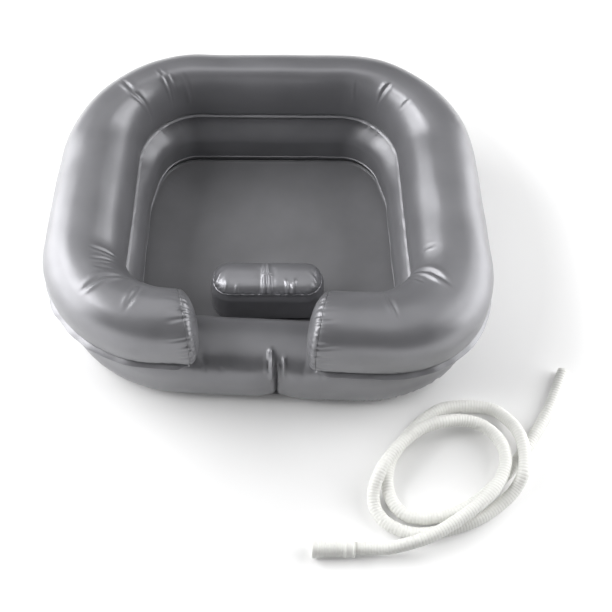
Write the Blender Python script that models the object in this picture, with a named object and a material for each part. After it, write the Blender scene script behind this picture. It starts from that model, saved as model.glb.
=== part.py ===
"""Portable shampoo basin: an inflatable bowl with a neck gap, a head pillow, and a loose drain hose.

Metres, +Z up. The neck gap opens to -Y, and +X is to the right of someone who faces the gap.
The bowl is two air chambers, one on the other: a lower ring, and an upper one that is open at the front.
"""

import math
from collections import namedtuple

import bmesh
import bpy
from mathutils import Vector

# Shared clearances and shading
WELD_GAP = 0.0003
RIM_GAP = 0.0005
SHARP_ANGLE_DEG = 40

# Plan of the bowl: each hoop is a rounded rectangle, so the chambers are wider at the sides than at the back
Hoop = namedtuple("Hoop", "half_width back front back_radius front_radius")
NARROWING_SHARE = 0.056
SKEW_SHARE = 0.055
SKEW_START_Y = 0.060
BACK_LEAN = 0.0045
CORNER_STEPS = 8
SIDE_SHARES = (0.25, 0.5, 0.75)
BACK_SHARES = (0.2, 0.5, 0.8)

# Section of an air chamber: corners at these angles, with flats at the sides, the top and the underside
SECTION_ANGLES_DEG = (15, 33, 57, 75)
ROUND_SQUARENESS = 2.1
WELDED_SQUARENESS = 4.6
BASE_SQUARENESS = 3.2

# Upper chamber
UPPER_CROWN_HALF_WIDTH = 0.2580
UPPER_CROWN_BACK = 0.2105
UPPER_CROWN_FRONT = 0.2045
UPPER_CROWN_BACK_RADIUS = 0.1421
UPPER_CROWN_FRONT_RADIUS = 0.1123
UPPER_CROWN = Hoop(
    UPPER_CROWN_HALF_WIDTH, UPPER_CROWN_BACK, UPPER_CROWN_FRONT,
    UPPER_CROWN_BACK_RADIUS, UPPER_CROWN_FRONT_RADIUS,
)
UPPER_REACH = 0.0496
UPPER_INNER_HALF_WIDTH = 0.1970
UPPER_INNER_BACK = 0.1840
UPPER_INNER_FRONT = 0.1545
UPPER_INNER_BACK_RADIUS = 0.0876
UPPER_INNER_FRONT_RADIUS = 0.0650
UPPER_INNER = Hoop(
    UPPER_INNER_HALF_WIDTH, UPPER_INNER_BACK, UPPER_INNER_FRONT,
    UPPER_INNER_BACK_RADIUS, UPPER_INNER_FRONT_RADIUS,
)
UPPER_MIDDLE_Z = 0.1440
UPPER_RISE = 0.0496
LEFT_ARM_END_X = -0.1100
RIGHT_ARM_END_X = 0.0710
ARM_SLANT_SHARE = 0.20
ARM_TAPER_LENGTH = 0.0220
ARM_END_SCALE = 0.94
RIGHT_ARM_STEPS = 3
END_PANEL_BULGE = 0.0190
END_PANEL_SHARES = (0, 0.34, 0.64, 0.87)

# Lower chamber
LAYER_Z = 0.1022
LOWER_CROWN_HALF_WIDTH = 0.2500
LOWER_CROWN_BACK = 0.2030
LOWER_CROWN_FRONT = 0.2025
LOWER_CROWN_BACK_RADIUS = 0.1100
LOWER_CROWN_FRONT_RADIUS = 0.1156
LOWER_CROWN = Hoop(
    LOWER_CROWN_HALF_WIDTH, LOWER_CROWN_BACK, LOWER_CROWN_FRONT,
    LOWER_CROWN_BACK_RADIUS, LOWER_CROWN_FRONT_RADIUS,
)
LOWER_OUTER_HALF_WIDTH = 0.2985
LOWER_OUTER_BACK = 0.2500
LOWER_OUTER_FRONT = 0.2520
LOWER_OUTER_BACK_RADIUS = 0.1560
LOWER_OUTER_FRONT_RADIUS = 0.1820
LOWER_OUTER = Hoop(
    LOWER_OUTER_HALF_WIDTH, LOWER_OUTER_BACK, LOWER_OUTER_FRONT,
    LOWER_OUTER_BACK_RADIUS, LOWER_OUTER_FRONT_RADIUS,
)
LOWER_INNER_HALF_WIDTH = 0.1865
LOWER_INNER_BACK = 0.1800
LOWER_INNER_FRONT = 0.1500
LOWER_INNER_BACK_RADIUS = 0.0740
LOWER_INNER_FRONT_RADIUS = 0.0650
LOWER_INNER = Hoop(
    LOWER_INNER_HALF_WIDTH, LOWER_INNER_BACK, LOWER_INNER_FRONT,
    LOWER_INNER_BACK_RADIUS, LOWER_INNER_FRONT_RADIUS,
)
NECK_BLEND = 0.0450
PINCH_X = 0.0110
PINCH_DEPTH = 0.0090
PINCH_HALF_WIDTH = 0.0160
PINCH_SHARES = (-1, -0.5, 0, 0.5, 1)
FRONT_LEFT_SHARES = (0.1, 0.35, 0.6, 0.82)
FRONT_RIGHT_SHARES = (0.2, 0.45, 0.7, 0.92)

# Floor of the bowl
FLOOR_TOP_Z = 0.0100
FLOOR_THICKNESS = 0.0005

# Pillow on the floor, behind the neck gap
PILLOW_LEFT_X = -0.0830
PILLOW_RIGHT_X = 0.0800
PILLOW_FRONT_Y = -0.1180
PILLOW_DEPTH = 0.0600
PILLOW_HEIGHT = 0.0800
PILLOW_CORNER_RADIUS = 0.0210
PILLOW_CORNER_STEPS = 4
PILLOW_TUCK = 0.0130
PILLOW_LEVEL_SHARES = ((0.0, 0.75), (0.05, 0.32), (0.16, 0.0), (0.62, 0.0), (0.76, 0.12), (0.88, 0.42), (0.96, 1.0))
PILLOW_CROWN_SHARE = 0.5
PILLOW_SIDE_STEPS = 6

# Inflation valves, each standing in a well in its chamber
UPPER_VALVE_X = 0.0550
LOWER_VALVE_X = -0.0550
PILLOW_VALVE_X = 0.0250
PILLOW_VALVE_HEIGHT_SHARE = 0.39
VALVE_WELL_RADIUS = 0.0085
VALVE_WELL_DEPTH = 0.0320
VALVE_FLANGE_RADIUS = 0.0112
VALVE_FLANGE_THICKNESS = 0.0014
VALVE_STEM_RADIUS = 0.0060
VALVE_STEM_WALL = 0.0018
VALVE_STEM_INSIDE = 0.0130
VALVE_STEM_OUTSIDE = 0.0080
VALVE_LIP_RADIUS = 0.0068
VALVE_LIP_HEIGHT = 0.0012
VALVE_CLEARANCE = 0.0003
VALVE_FLAP_THICKNESS = 0.0008
VALVE_CORK_LENGTH = 0.0085
VALVE_CORK_TIP = 0.0006
VALVE_HEAD_RADIUS = 0.0068
VALVE_HEAD_THICKNESS = 0.0022
VALVE_KNOB_RADIUS = 0.0030
VALVE_KNOB_HEIGHT = 0.0022
TURNED_SIDES = 20

# Drain in the floor's left front corner
DRAIN_X = -0.1400
DRAIN_Y = -0.0980
DRAIN_BORE_RADIUS = 0.0070
DRAIN_FLANGE_RADIUS = 0.0180
DRAIN_FLANGE_THICKNESS = 0.0020
DRAIN_FOOT_CLEARANCE = 0.0008
DRAIN_SPIGOT_LEAD = 0.0008
DRAIN_CLEARANCE = 0.0003
STOPPER_HEAD_RADIUS = 0.0120
STOPPER_HEAD_THICKNESS = 0.0024
STOPPER_CORK_LENGTH = 0.0062
STOPPER_NECK_RADIUS = 0.0035
STOPPER_NECK_HEIGHT = 0.0022
STOPPER_KNOB_RADIUS = 0.0055
STOPPER_KNOB_HEIGHT = 0.0030
STOPPER_CHAMFER = 0.0008

# Cuff of the drain hose, which pushes over the drain's spigot
CUFF_MOUTH = (0.0600, -0.4770)
CUFF_LENGTH = 0.0580
CUFF_LIP_RADIUS = 0.0128
CUFF_LIP_LENGTH = 0.0035
CUFF_BODY_RADIUS = 0.0114
CUFF_RIB_RADIUS = 0.0118
CUFF_RIBS = 9
CUFF_RIB_SHARES = (0.25, 0.75)
CUFF_RING_RADIUS = 0.0123
CUFF_RING_LENGTH = 0.0034
CUFF_RING_SPACING = 0.0110
CUFF_BORE_RADIUS = 0.0096
CUFF_BORE_LENGTH = 0.0380
CUFF_TAIL_RADIUS = 0.0098
CUFF_FLOOR_CLEARANCE = 0.0002

# Drain hose
HOSE_RADIUS = 0.0090
HOSE_VALLEY_RADIUS = 0.0080
HOSE_BORE_RADIUS = 0.0066
HOSE_RIBS = 150
HOSE_SIDES = 8
HOSE_BORE_RINGS = 76
HOSE_LEAST_GAP = 0.0004
HOSE_END_GAP = 0.0003
CUFF_AXIS_Z = CUFF_LIP_RADIUS + CUFF_FLOOR_CLEARANCE
HOSE_START_X = CUFF_MOUTH[0] + CUFF_LENGTH + HOSE_END_GAP
HOSE_LOW_Z = HOSE_RADIUS + CUFF_FLOOR_CLEARANCE
HOSE_ROUTE = (
    (HOSE_START_X, -0.4770, CUFF_AXIS_Z),
    (0.1383, -0.4770, CUFF_AXIS_Z),
    (0.1635, -0.4780, 0.0175),
    (0.1900, -0.4745, 0.0255),
    (0.2225, -0.4635, 0.0284),
    (0.2965, -0.4125, 0.0284),
    (0.3195, -0.3835, 0.0284),
    (0.3295, -0.3525, 0.0275),
    (0.3245, -0.3240, 0.0230),
    (0.3045, -0.2990, 0.0180),
    (0.2760, -0.2910, 0.0210),
    (0.2455, -0.2960, 0.0278),
    (0.2185, -0.3055, 0.0284),
    (0.1940, -0.3225, 0.0284),
    (0.1720, -0.3460, 0.0284),
    (0.1545, -0.3730, 0.0270),
    (0.1455, -0.3980, 0.0170),
    (0.1485, -0.4210, 0.0100),
    (0.1650, -0.4415, HOSE_LOW_Z),
    (0.1960, -0.4545, HOSE_LOW_Z),
    (0.2380, -0.4510, HOSE_LOW_Z),
    (0.2830, -0.4365, HOSE_LOW_Z),
    (0.3150, -0.4165, HOSE_LOW_Z),
    (0.3410, -0.3930, 0.0150),
    (0.3525, -0.3720, 0.0268),
    (0.3560, -0.3440, 0.0284),
    (0.3525, -0.3165, 0.0268),
    (0.3390, -0.2865, 0.0150),
    (0.3170, -0.2675, HOSE_LOW_Z),
    (0.2560, -0.2655, HOSE_LOW_Z),
    (0.2230, -0.2835, HOSE_LOW_Z),
    (0.1730, -0.3455, HOSE_LOW_Z),
    (0.1655, -0.3815, HOSE_LOW_Z),
    (0.1740, -0.4135, HOSE_LOW_Z),
    (0.1960, -0.4315, HOSE_LOW_Z),
    (0.2630, -0.4225, HOSE_LOW_Z),
    (0.3340, -0.3655, HOSE_LOW_Z),
    (0.3870, -0.2925, HOSE_LOW_Z),
    (0.4070, -0.2575, HOSE_LOW_Z),
    (0.4290, -0.2065, HOSE_LOW_Z),
)


def clear_scene():
    """Remove everything that the file was opened with."""
    for old in list(bpy.data.objects):
        bpy.data.objects.remove(old, do_unlink=True)


def material(name, color, roughness, metallic=0.0, alpha=1.0):
    """A Principled material with one colour."""
    made = bpy.data.materials.new(name)
    made.use_nodes = True
    shader = made.node_tree.nodes["Principled BSDF"]
    shader.inputs["Base Color"].default_value = (*color, 1.0)
    shader.inputs["Roughness"].default_value = roughness
    shader.inputs["Metallic"].default_value = metallic
    shader.inputs["Alpha"].default_value = alpha
    made.diffuse_color = (*color, alpha)
    return made


def add_object(name, bm, finish, parent=None):
    """Turn a bmesh into an object with smooth shading and one finish."""
    bmesh.ops.recalc_face_normals(bm, faces=bm.faces)
    mesh = bpy.data.meshes.new(name)
    bm.to_mesh(mesh)
    bm.free()
    mesh.materials.append(finish)
    mesh.shade_smooth()
    mesh.set_sharp_from_angle(angle=math.radians(SHARP_ANGLE_DEG))
    made = bpy.data.objects.new(name, mesh)
    bpy.context.scene.collection.objects.link(made)
    made.parent = parent
    return made


def loft(name, rings, finish, parent=None, closed=False):
    """Skin rings of equal count, in order. A closed loft joins its last ring to its first, an open one is capped."""
    bm = bmesh.new()
    rows = [[bm.verts.new(point) for point in ring] for ring in rings]
    pairs = list(zip(rows, rows[1:]))
    if closed:
        pairs.append((rows[-1], rows[0]))
    count = len(rows[0])
    for first, second in pairs:
        for index in range(count):
            after = (index + 1) % count
            bm.faces.new((first[index], first[after], second[after], second[index]))
    if not closed:
        bm.faces.new(rows[0])
        bm.faces.new(rows[-1])
    bmesh.ops.triangulate(bm, faces=bm.faces)
    return add_object(name, bm, finish, parent)


def turned(name, profile, origin, axis, finish, parent=None, hollow=False):
    """Turn a profile of (radius, height) points about an axis through the origin. A hollow profile is a closed loop."""
    axis = Vector(axis)
    across = axis.orthogonal().normalized()
    beside = axis.cross(across)
    origin = Vector(origin)
    bm = bmesh.new()
    rows = []
    for radius, height in profile:
        middle = axis * height
        if radius == 0:
            rows.append([bm.verts.new(middle)] * TURNED_SIDES)
            continue
        ring = []
        for step in range(TURNED_SIDES):
            turn = math.tau * step / TURNED_SIDES
            ring.append(bm.verts.new(middle + (across * math.cos(turn) + beside * math.sin(turn)) * radius))
        rows.append(ring)
    pairs = list(zip(rows, rows[1:]))
    if hollow:
        pairs.append((rows[-1], rows[0]))
    for first, second in pairs:
        for index in range(TURNED_SIDES):
            after = (index + 1) % TURNED_SIDES
            corners = []
            for vertex in (first[index], first[after], second[after], second[index]):
                if vertex not in corners:
                    corners.append(vertex)
            bm.faces.new(corners)
    made = add_object(name, bm, finish, parent)
    made.location = origin
    return made


def cut(target, cutter):
    """Subtract a hidden cutter from an object."""
    cutter.hide_render = True
    cutter.display_type = "WIRE"
    boolean = target.modifiers.new("cut", "BOOLEAN")
    boolean.operation = "DIFFERENCE"
    boolean.solver = "EXACT"
    boolean.object = cutter


def settle(x, y):
    """The plan as it stands: a little narrower to the back, and its front edge turned towards the right."""
    mid_y = (UPPER_CROWN.back - UPPER_CROWN.front) / 2
    narrow = 1 - NARROWING_SHARE * (y - mid_y) / UPPER_CROWN.half_width
    turn = min(max((SKEW_START_Y - y) / (SKEW_START_Y + LOWER_INNER.front), 0), 1)
    return Vector((x * narrow, y - SKEW_SHARE * x * turn, 0))


def grown(hoop, reach):
    """The hoop that lies a constant distance outside another."""
    return Hoop(*(size + reach for size in hoop))


def along(start, end, share):
    """The point at a share of the way between two."""
    return start + (end - start) * share


def leaned(points, back):
    """The outer side of the bowl leans a little to the right towards its back."""
    return [(x + BACK_LEAN * smooth_step(y / back), y) for x, y in points]


def corner(hoop, side, end):
    """The centre, radius and facing of one corner: side is 1 at the right, and end is 1 at the back."""
    radius = hoop.back_radius if end > 0 else hoop.front_radius
    reach = hoop.back if end > 0 else hoop.front
    return side * (hoop.half_width - radius), end * (reach - radius), radius


def corner_points(hoop, side, end, start_deg, steps=CORNER_STEPS):
    """Points round a corner, a quarter turn from an angle."""
    x, y, radius = corner(hoop, side, end)
    points = []
    for step in range(steps + 1):
        turn = math.radians(start_deg + 90 * step / steps)
        points.append((x + radius * math.cos(turn), y + radius * math.sin(turn)))
    return points


def plan_points(hoop, front_xs):
    """Stations round a hoop, anticlockwise from the front's first x, round the right side and the back."""
    def between(start, end, shares):
        return [(along(start[0], end[0], share), along(start[1], end[1], share)) for share in shares]

    front_right = corner_points(hoop, 1, -1, -90)
    back_right = corner_points(hoop, 1, 1, 0)
    back_left = corner_points(hoop, -1, 1, 90)
    front_left = corner_points(hoop, -1, -1, 180)
    before = [(x, -hoop.front) for x in front_xs[0]]
    after = [(x, -hoop.front) for x in front_xs[1]]
    points = before + front_right + between(front_right[-1], back_right[0], SIDE_SHARES) + back_right
    points += between(back_right[-1], back_left[0], BACK_SHARES) + back_left
    points += between(back_left[-1], front_left[0], SIDE_SHARES) + front_left + after
    return points


def superellipse(angle_deg, squareness):
    """A point of a unit superellipse in its first quarter, scaled so that the flats beside its axes touch 1."""
    power = 2 / squareness
    flat = math.cos(math.radians(SECTION_ANGLES_DEG[0])) ** power
    turn = math.radians(angle_deg)
    return math.cos(turn) ** power / flat, math.sin(turn) ** power / flat


def section_shares(outer_top, outer_low, inner_low, inner_top):
    """Corners of a chamber's section as shares of its reach and rise, from the outer side over the top."""
    rising = SECTION_ANGLES_DEG
    falling = SECTION_ANGLES_DEG[::-1]
    shares = [superellipse(angle, outer_top) for angle in rising]
    shares += [(-x, z) for x, z in (superellipse(angle, inner_top) for angle in falling)]
    shares += [(-x, -z) for x, z in (superellipse(angle, inner_low) for angle in rising)]
    shares += [(x, -z) for x, z in (superellipse(angle, outer_low) for angle in falling)]
    return shares


def ring_at(crown, outer, inner, shares, middle_z, rise, fall):
    """One section of a chamber, from its three plan points and its heights."""
    ring = []
    for across, up in shares:
        side = outer if across > 0 else inner
        x = along(crown[0], side[0], abs(across))
        y = along(crown[1], side[1], abs(across))
        point = settle(x, y)
        point.z = middle_z + up * (rise if up > 0 else fall)
        ring.append(point)
    return ring


def smooth_step(share):
    """Ease from 0 to 1."""
    share = min(max(share, 0), 1)
    return share * share * (3 - 2 * share)


def neck_share(x, y):
    """How far a station of the lower chamber lies in the neck gap, from 0 under the arms to 1."""
    if y > -LOWER_INNER.front:
        return 0
    inside = min(x - LEFT_ARM_END_X, RIGHT_ARM_END_X - x)
    return smooth_step((inside + NECK_BLEND / 2) / NECK_BLEND)


def lower_front_xs():
    """Stations along the lower chamber's front, right and left of the pinch, the closest ones at the pinch."""
    straight = LOWER_INNER.half_width - LOWER_INNER.front_radius
    pinched = [PINCH_X + PINCH_HALF_WIDTH * share for share in PINCH_SHARES]
    left = [along(-straight, pinched[0], share) for share in FRONT_LEFT_SHARES]
    right = [along(pinched[-1], straight, share) for share in FRONT_RIGHT_SHARES]
    middle = len(PINCH_SHARES) // 2
    return pinched[middle:] + right, left + pinched[:middle]


def lower_rings():
    """Sections of the lower chamber, all the way round."""
    front = lower_front_xs()
    crown = plan_points(LOWER_CROWN, front)
    outer = leaned(plan_points(LOWER_OUTER, front), LOWER_OUTER.back)
    inner = plan_points(LOWER_INNER, front)
    middle_z = LAYER_Z / 2
    rings = []
    for middle, out, into in zip(crown, outer, inner):
        neck = neck_share(*middle)
        top = along(WELDED_SQUARENESS, ROUND_SQUARENESS, neck)
        shares = section_shares(top, BASE_SQUARENESS, BASE_SQUARENESS, top)
        if middle[1] < -LOWER_INNER.front:
            pinch = smooth_step(1 - abs(middle[0] - PINCH_X) / PINCH_HALF_WIDTH)
            out = (out[0], out[1] + PINCH_DEPTH * pinch)
        rings.append(ring_at(middle, out, into, shares, middle_z, middle_z, middle_z))
    return rings


def upper_rings():
    """Sections of the upper chamber, from the right arm's end round the back to the left arm's."""
    right_start = UPPER_CROWN.half_width - grown(UPPER_CROWN, UPPER_REACH).front_radius + UPPER_REACH
    left_start = -right_start
    right = [RIGHT_ARM_END_X, RIGHT_ARM_END_X + ARM_TAPER_LENGTH]
    run = right_start - right[-1]
    right += [right[-1] + run * step / RIGHT_ARM_STEPS for step in range(1, RIGHT_ARM_STEPS)]
    left_inner = LEFT_ARM_END_X - ARM_TAPER_LENGTH
    left = [left_inner, LEFT_ARM_END_X]
    front = (right, left)
    crown = plan_points(UPPER_CROWN, front)
    outer_hoop = grown(UPPER_CROWN, UPPER_REACH)
    outer = leaned(plan_points(outer_hoop, front), outer_hoop.back)
    inner = plan_points(UPPER_INNER, front)
    shares = section_shares(ROUND_SQUARENESS, WELDED_SQUARENESS, WELDED_SQUARENESS, ROUND_SQUARENESS)
    fall = UPPER_MIDDLE_Z - LAYER_Z - WELD_GAP
    rings = []
    for index, (middle, out, into) in enumerate(zip(crown, outer, inner)):
        end = index in (0, len(crown) - 1)
        scale = ARM_END_SCALE if end else 1
        scaled = [(across * scale, up * scale if up > 0 else up) for across, up in shares]
        ring = ring_at(middle, out, into, scaled, UPPER_MIDDLE_Z, UPPER_RISE, fall)
        if end:
            away = 1 if index else -1
            for point in ring:
                point.x -= away * ARM_SLANT_SHARE * (point.y + UPPER_CROWN.front)
        rings.append(ring)
    return rings


def end_panel(name, ring, outward, finish, parent):
    """The domed panel that closes an arm: rings that shrink as they bulge out from the arm's end."""
    middle = sum(ring, Vector()) / len(ring)
    rings = []
    for share in END_PANEL_SHARES:
        scale = math.sqrt(1 - share * share)
        shift = outward * (WELD_GAP + END_PANEL_BULGE * share)
        rings.append([middle + (point - middle) * scale + shift for point in ring])
    return loft(name, rings, finish, parent)


def chamber_edge(ring, inner_shares, height):
    """Where the inner wall of a section stands at a height."""
    low, high = None, None
    for first, second in zip(inner_shares, inner_shares[1:]):
        upper_point, lower_point = ring[first], ring[second]
        if lower_point.z <= height <= upper_point.z:
            low, high = lower_point, upper_point
    share = (height - low.z) / (high.z - low.z)
    return along(low, high, share)


def floor_sheet(rings, finish, parent):
    """The floor sheet, whose rim follows the lower chamber's inner wall."""
    quarter = len(SECTION_ANGLES_DEG)
    inner_wall = range(2 * quarter, 3 * quarter)
    levels = []
    for height in (FLOOR_TOP_Z - FLOOR_THICKNESS, FLOOR_TOP_Z):
        edge = [chamber_edge(ring, inner_wall, height) for ring in rings]
        level = []
        for index, point in enumerate(edge):
            run = edge[(index + 1) % len(edge)] - edge[index - 1]
            inward = Vector((-run.y, run.x, 0)).normalized()
            level.append(point + inward * RIM_GAP)
        levels.append(level)
    return loft("floor_sheet", levels, finish, parent)


def pillow(finish, parent):
    """The head pillow: an oblong with rounded corners, an upright wall and a crowned top."""
    half_width = (PILLOW_RIGHT_X - PILLOW_LEFT_X) / 2
    half_depth = PILLOW_DEPTH / 2
    middle_x = (PILLOW_RIGHT_X + PILLOW_LEFT_X) / 2
    middle_y = PILLOW_FRONT_Y + half_depth
    base_z = FLOOR_TOP_Z + WELD_GAP
    rings = []
    for height_share, tuck_share in PILLOW_LEVEL_SHARES:
        tuck = PILLOW_TUCK * tuck_share
        radius = PILLOW_CORNER_RADIUS - tuck / 2
        hoop = Hoop(half_width - tuck, half_depth - tuck, half_depth - tuck, radius, radius)
        points = []
        for side, end, start in ((1, -1, -90), (1, 1, 0), (-1, 1, 90), (-1, -1, 180)):
            points += corner_points(hoop, side, end, start, PILLOW_CORNER_STEPS)
        straight = []
        for index, point in enumerate(points):
            straight.append(point)
            after = points[(index + 1) % len(points)]
            if math.dist(point, after) > half_width:
                for step in range(1, PILLOW_SIDE_STEPS):
                    share = step / PILLOW_SIDE_STEPS
                    straight.append((along(point[0], after[0], share), along(point[1], after[1], share)))
        z = base_z + PILLOW_HEIGHT * height_share
        rings.append([Vector((middle_x + x, middle_y + y, z)) for x, y in straight])
    top = rings[-1]
    middle = sum(top, Vector()) / len(top)
    crown_z = base_z + PILLOW_HEIGHT
    rings.append([Vector((*along(middle, point, PILLOW_CROWN_SHARE).xy, crown_z)) for point in top])
    return loft("pillow", rings, finish, parent)


def valve(prefix, seat, chamber, finishes, parent):
    """An inflation valve facing +Y, with its flange, sliding stem, check flap and plug."""
    x, y, z = seat
    outward = (0, 1, 0)
    bore = VALVE_STEM_RADIUS - VALVE_STEM_WALL
    well = turned(
        prefix + "_valve_well",
        [(0, -VALVE_WELL_DEPTH), (VALVE_WELL_RADIUS, -VALVE_WELL_DEPTH),
         (VALVE_WELL_RADIUS, VALVE_STEM_OUTSIDE), (0, VALVE_STEM_OUTSIDE)],
        seat, outward, finishes["valve"], parent,
    )
    cut(chamber, well)

    inner = VALVE_STEM_RADIUS + VALVE_CLEARANCE
    low = WELD_GAP
    high = WELD_GAP + VALVE_FLANGE_THICKNESS
    flange = [(inner, low), (VALVE_FLANGE_RADIUS, low), (VALVE_FLANGE_RADIUS, high), (inner, high)]
    turned(prefix + "_valve_flange", flange, seat, outward, finishes["valve"], parent, hollow=True)

    stem = [
        (bore, -VALVE_STEM_INSIDE), (VALVE_STEM_RADIUS, -VALVE_STEM_INSIDE),
        (VALVE_STEM_RADIUS, VALVE_STEM_OUTSIDE - VALVE_LIP_HEIGHT),
        (VALVE_LIP_RADIUS, VALVE_STEM_OUTSIDE - VALVE_LIP_HEIGHT),
        (VALVE_LIP_RADIUS, VALVE_STEM_OUTSIDE), (bore, VALVE_STEM_OUTSIDE),
    ]
    turned(prefix + "_valve_stem", stem, seat, outward, finishes["valve"], parent, hollow=True)

    flap_high = -VALVE_CLEARANCE
    flap_low = flap_high - VALVE_FLAP_THICKNESS
    flap_profile = [(0, flap_low), (VALVE_STEM_RADIUS, flap_low), (VALVE_STEM_RADIUS, flap_high), (0, flap_high)]
    turned(prefix + "_valve_flap", flap_profile, (x, y - VALVE_STEM_INSIDE, z), outward, finishes["flap"], parent)

    cork = bore - VALVE_CLEARANCE
    rest = VALVE_STEM_OUTSIDE + VALVE_CLEARANCE
    tip = VALVE_STEM_OUTSIDE - VALVE_CORK_LENGTH
    head = rest + VALVE_HEAD_THICKNESS
    knob = head + VALVE_KNOB_HEIGHT
    plug = [
        (0, tip), (cork - VALVE_CORK_TIP, tip), (cork, tip + VALVE_CORK_TIP), (cork, rest),
        (VALVE_HEAD_RADIUS, rest), (VALVE_HEAD_RADIUS, head), (VALVE_KNOB_RADIUS, head),
        (VALVE_KNOB_RADIUS, knob), (0, knob),
    ]
    turned(prefix + "_valve_plug", plug, seat, outward, finishes["plug"], parent)


def drain(floor, finishes, parent):
    """The drain in the floor: a flanged outlet with a short spigot below, and a stopper that lifts out."""
    seat = (DRAIN_X, DRAIN_Y, FLOOR_TOP_Z)
    spigot = CUFF_BORE_RADIUS - DRAIN_CLEARANCE
    foot = DRAIN_FOOT_CLEARANCE - FLOOR_TOP_Z
    low = WELD_GAP
    high = WELD_GAP + DRAIN_FLANGE_THICKNESS
    outlet = [
        (DRAIN_BORE_RADIUS, foot), (spigot - DRAIN_SPIGOT_LEAD, foot), (spigot, foot + DRAIN_SPIGOT_LEAD),
        (spigot, low), (DRAIN_FLANGE_RADIUS, low), (DRAIN_FLANGE_RADIUS, high), (DRAIN_BORE_RADIUS, high),
    ]
    turned("drain_outlet", outlet, seat, (0, 0, 1), finishes["fitting"], parent, hollow=True)
    hole = spigot + DRAIN_CLEARANCE
    cutter = turned(
        "drain_hole", [(0, foot), (hole, foot), (hole, DRAIN_FLANGE_THICKNESS), (0, DRAIN_FLANGE_THICKNESS)],
        seat, (0, 0, 1), finishes["fitting"], parent,
    )
    cut(floor, cutter)

    cork = DRAIN_BORE_RADIUS - DRAIN_CLEARANCE
    rest = high + DRAIN_CLEARANCE
    tip = rest - STOPPER_CORK_LENGTH
    head = rest + STOPPER_HEAD_THICKNESS
    neck = head + STOPPER_NECK_HEIGHT
    knob = neck + STOPPER_KNOB_HEIGHT
    stopper = [
        (0, tip), (cork - STOPPER_CHAMFER, tip), (cork, tip + STOPPER_CHAMFER), (cork, rest),
        (STOPPER_HEAD_RADIUS, rest), (STOPPER_HEAD_RADIUS, head - STOPPER_CHAMFER),
        (STOPPER_HEAD_RADIUS - STOPPER_CHAMFER, head), (STOPPER_NECK_RADIUS, head),
        (STOPPER_NECK_RADIUS, neck), (STOPPER_KNOB_RADIUS, neck), (STOPPER_KNOB_RADIUS, knob - STOPPER_CHAMFER),
        (STOPPER_KNOB_RADIUS - STOPPER_CHAMFER, knob), (0, knob),
    ]
    turned("drain_stopper", stopper, seat, (0, 0, 1), finishes["fitting"], parent)


def hose_cuff(finish):
    """The hose's cuff: a lipped mouth, a finely ribbed grip and two rings, with a stepped bore."""
    ring_start = CUFF_LENGTH - CUFF_RING_SPACING - CUFF_RING_LENGTH
    outside = [(CUFF_LIP_RADIUS, 0), (CUFF_LIP_RADIUS, CUFF_LIP_LENGTH)]
    grip = ring_start - CUFF_LIP_LENGTH
    pitch = grip / CUFF_RIBS
    for rib in range(CUFF_RIBS):
        start = CUFF_LIP_LENGTH + pitch * rib
        valley, crest = (start + pitch * share for share in CUFF_RIB_SHARES)
        outside += [(CUFF_BODY_RADIUS, valley), (CUFF_RIB_RADIUS, crest)]
    for start in (ring_start, ring_start + CUFF_RING_SPACING):
        end = start + CUFF_RING_LENGTH
        outside += [(CUFF_RING_RADIUS, start), (CUFF_RING_RADIUS, end)]
        if end < CUFF_LENGTH - WELD_GAP:
            outside += [(CUFF_TAIL_RADIUS, end), (CUFF_TAIL_RADIUS, start + CUFF_RING_SPACING)]
    inside = [
        (HOSE_BORE_RADIUS, CUFF_LENGTH), (HOSE_BORE_RADIUS, CUFF_BORE_LENGTH),
        (CUFF_BORE_RADIUS, CUFF_BORE_LENGTH), (CUFF_BORE_RADIUS, 0),
    ]
    mouth = (CUFF_MOUTH[0], CUFF_MOUTH[1], CUFF_AXIS_Z)
    turned("hose_cuff", outside + inside, mouth, (1, 0, 0), finish, hollow=True)


def curve_through(points, per_span=16):
    """A smooth curve through points, as many short chords: each span follows its neighbours' directions."""
    points = [Vector(point) for point in points]
    padded = [points[0] * 2 - points[1]] + points + [points[-1] * 2 - points[-2]]
    samples = []
    for before, start, end, after in zip(padded, padded[1:], padded[2:], padded[3:]):
        first = math.sqrt((start - before).length)
        span = math.sqrt((end - start).length)
        last = math.sqrt((after - end).length)
        leave = (start - before) / first - (end - before) / (first + span) + (end - start) / span
        arrive = (end - start) / span - (after - start) / (span + last) + (after - end) / last
        leave *= span
        arrive *= span
        for step in range(per_span):
            t = step / per_span
            samples.append(
                start * (2 * t ** 3 - 3 * t ** 2 + 1) + leave * (t ** 3 - 2 * t ** 2 + t)
                + end * (3 * t ** 2 - 2 * t ** 3) + arrive * (t ** 3 - t ** 2)
            )
    samples.append(points[-1])
    return samples


def walk(samples, distances):
    """Points and directions at distances along a chain of chords."""
    found = []
    travelled = 0
    index = 0
    for distance in distances:
        while index < len(samples) - 2 and travelled + (samples[index + 1] - samples[index]).length < distance:
            travelled += (samples[index + 1] - samples[index]).length
            index += 1
        chord = samples[index + 1] - samples[index]
        found.append((samples[index] + chord * ((distance - travelled) / chord.length), chord.normalized()))
    return found


def circle_at(point, direction, radius):
    """The corners of the hose round one point of its route."""
    beside = direction.cross(Vector((0, 0, 1))).normalized()
    above = beside.cross(direction)
    corners = []
    for side in range(HOSE_SIDES):
        turn = math.tau * (side + 0.5) / HOSE_SIDES
        corners.append(point + (beside * math.cos(turn) + above * math.sin(turn)) * radius)
    return corners


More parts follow.
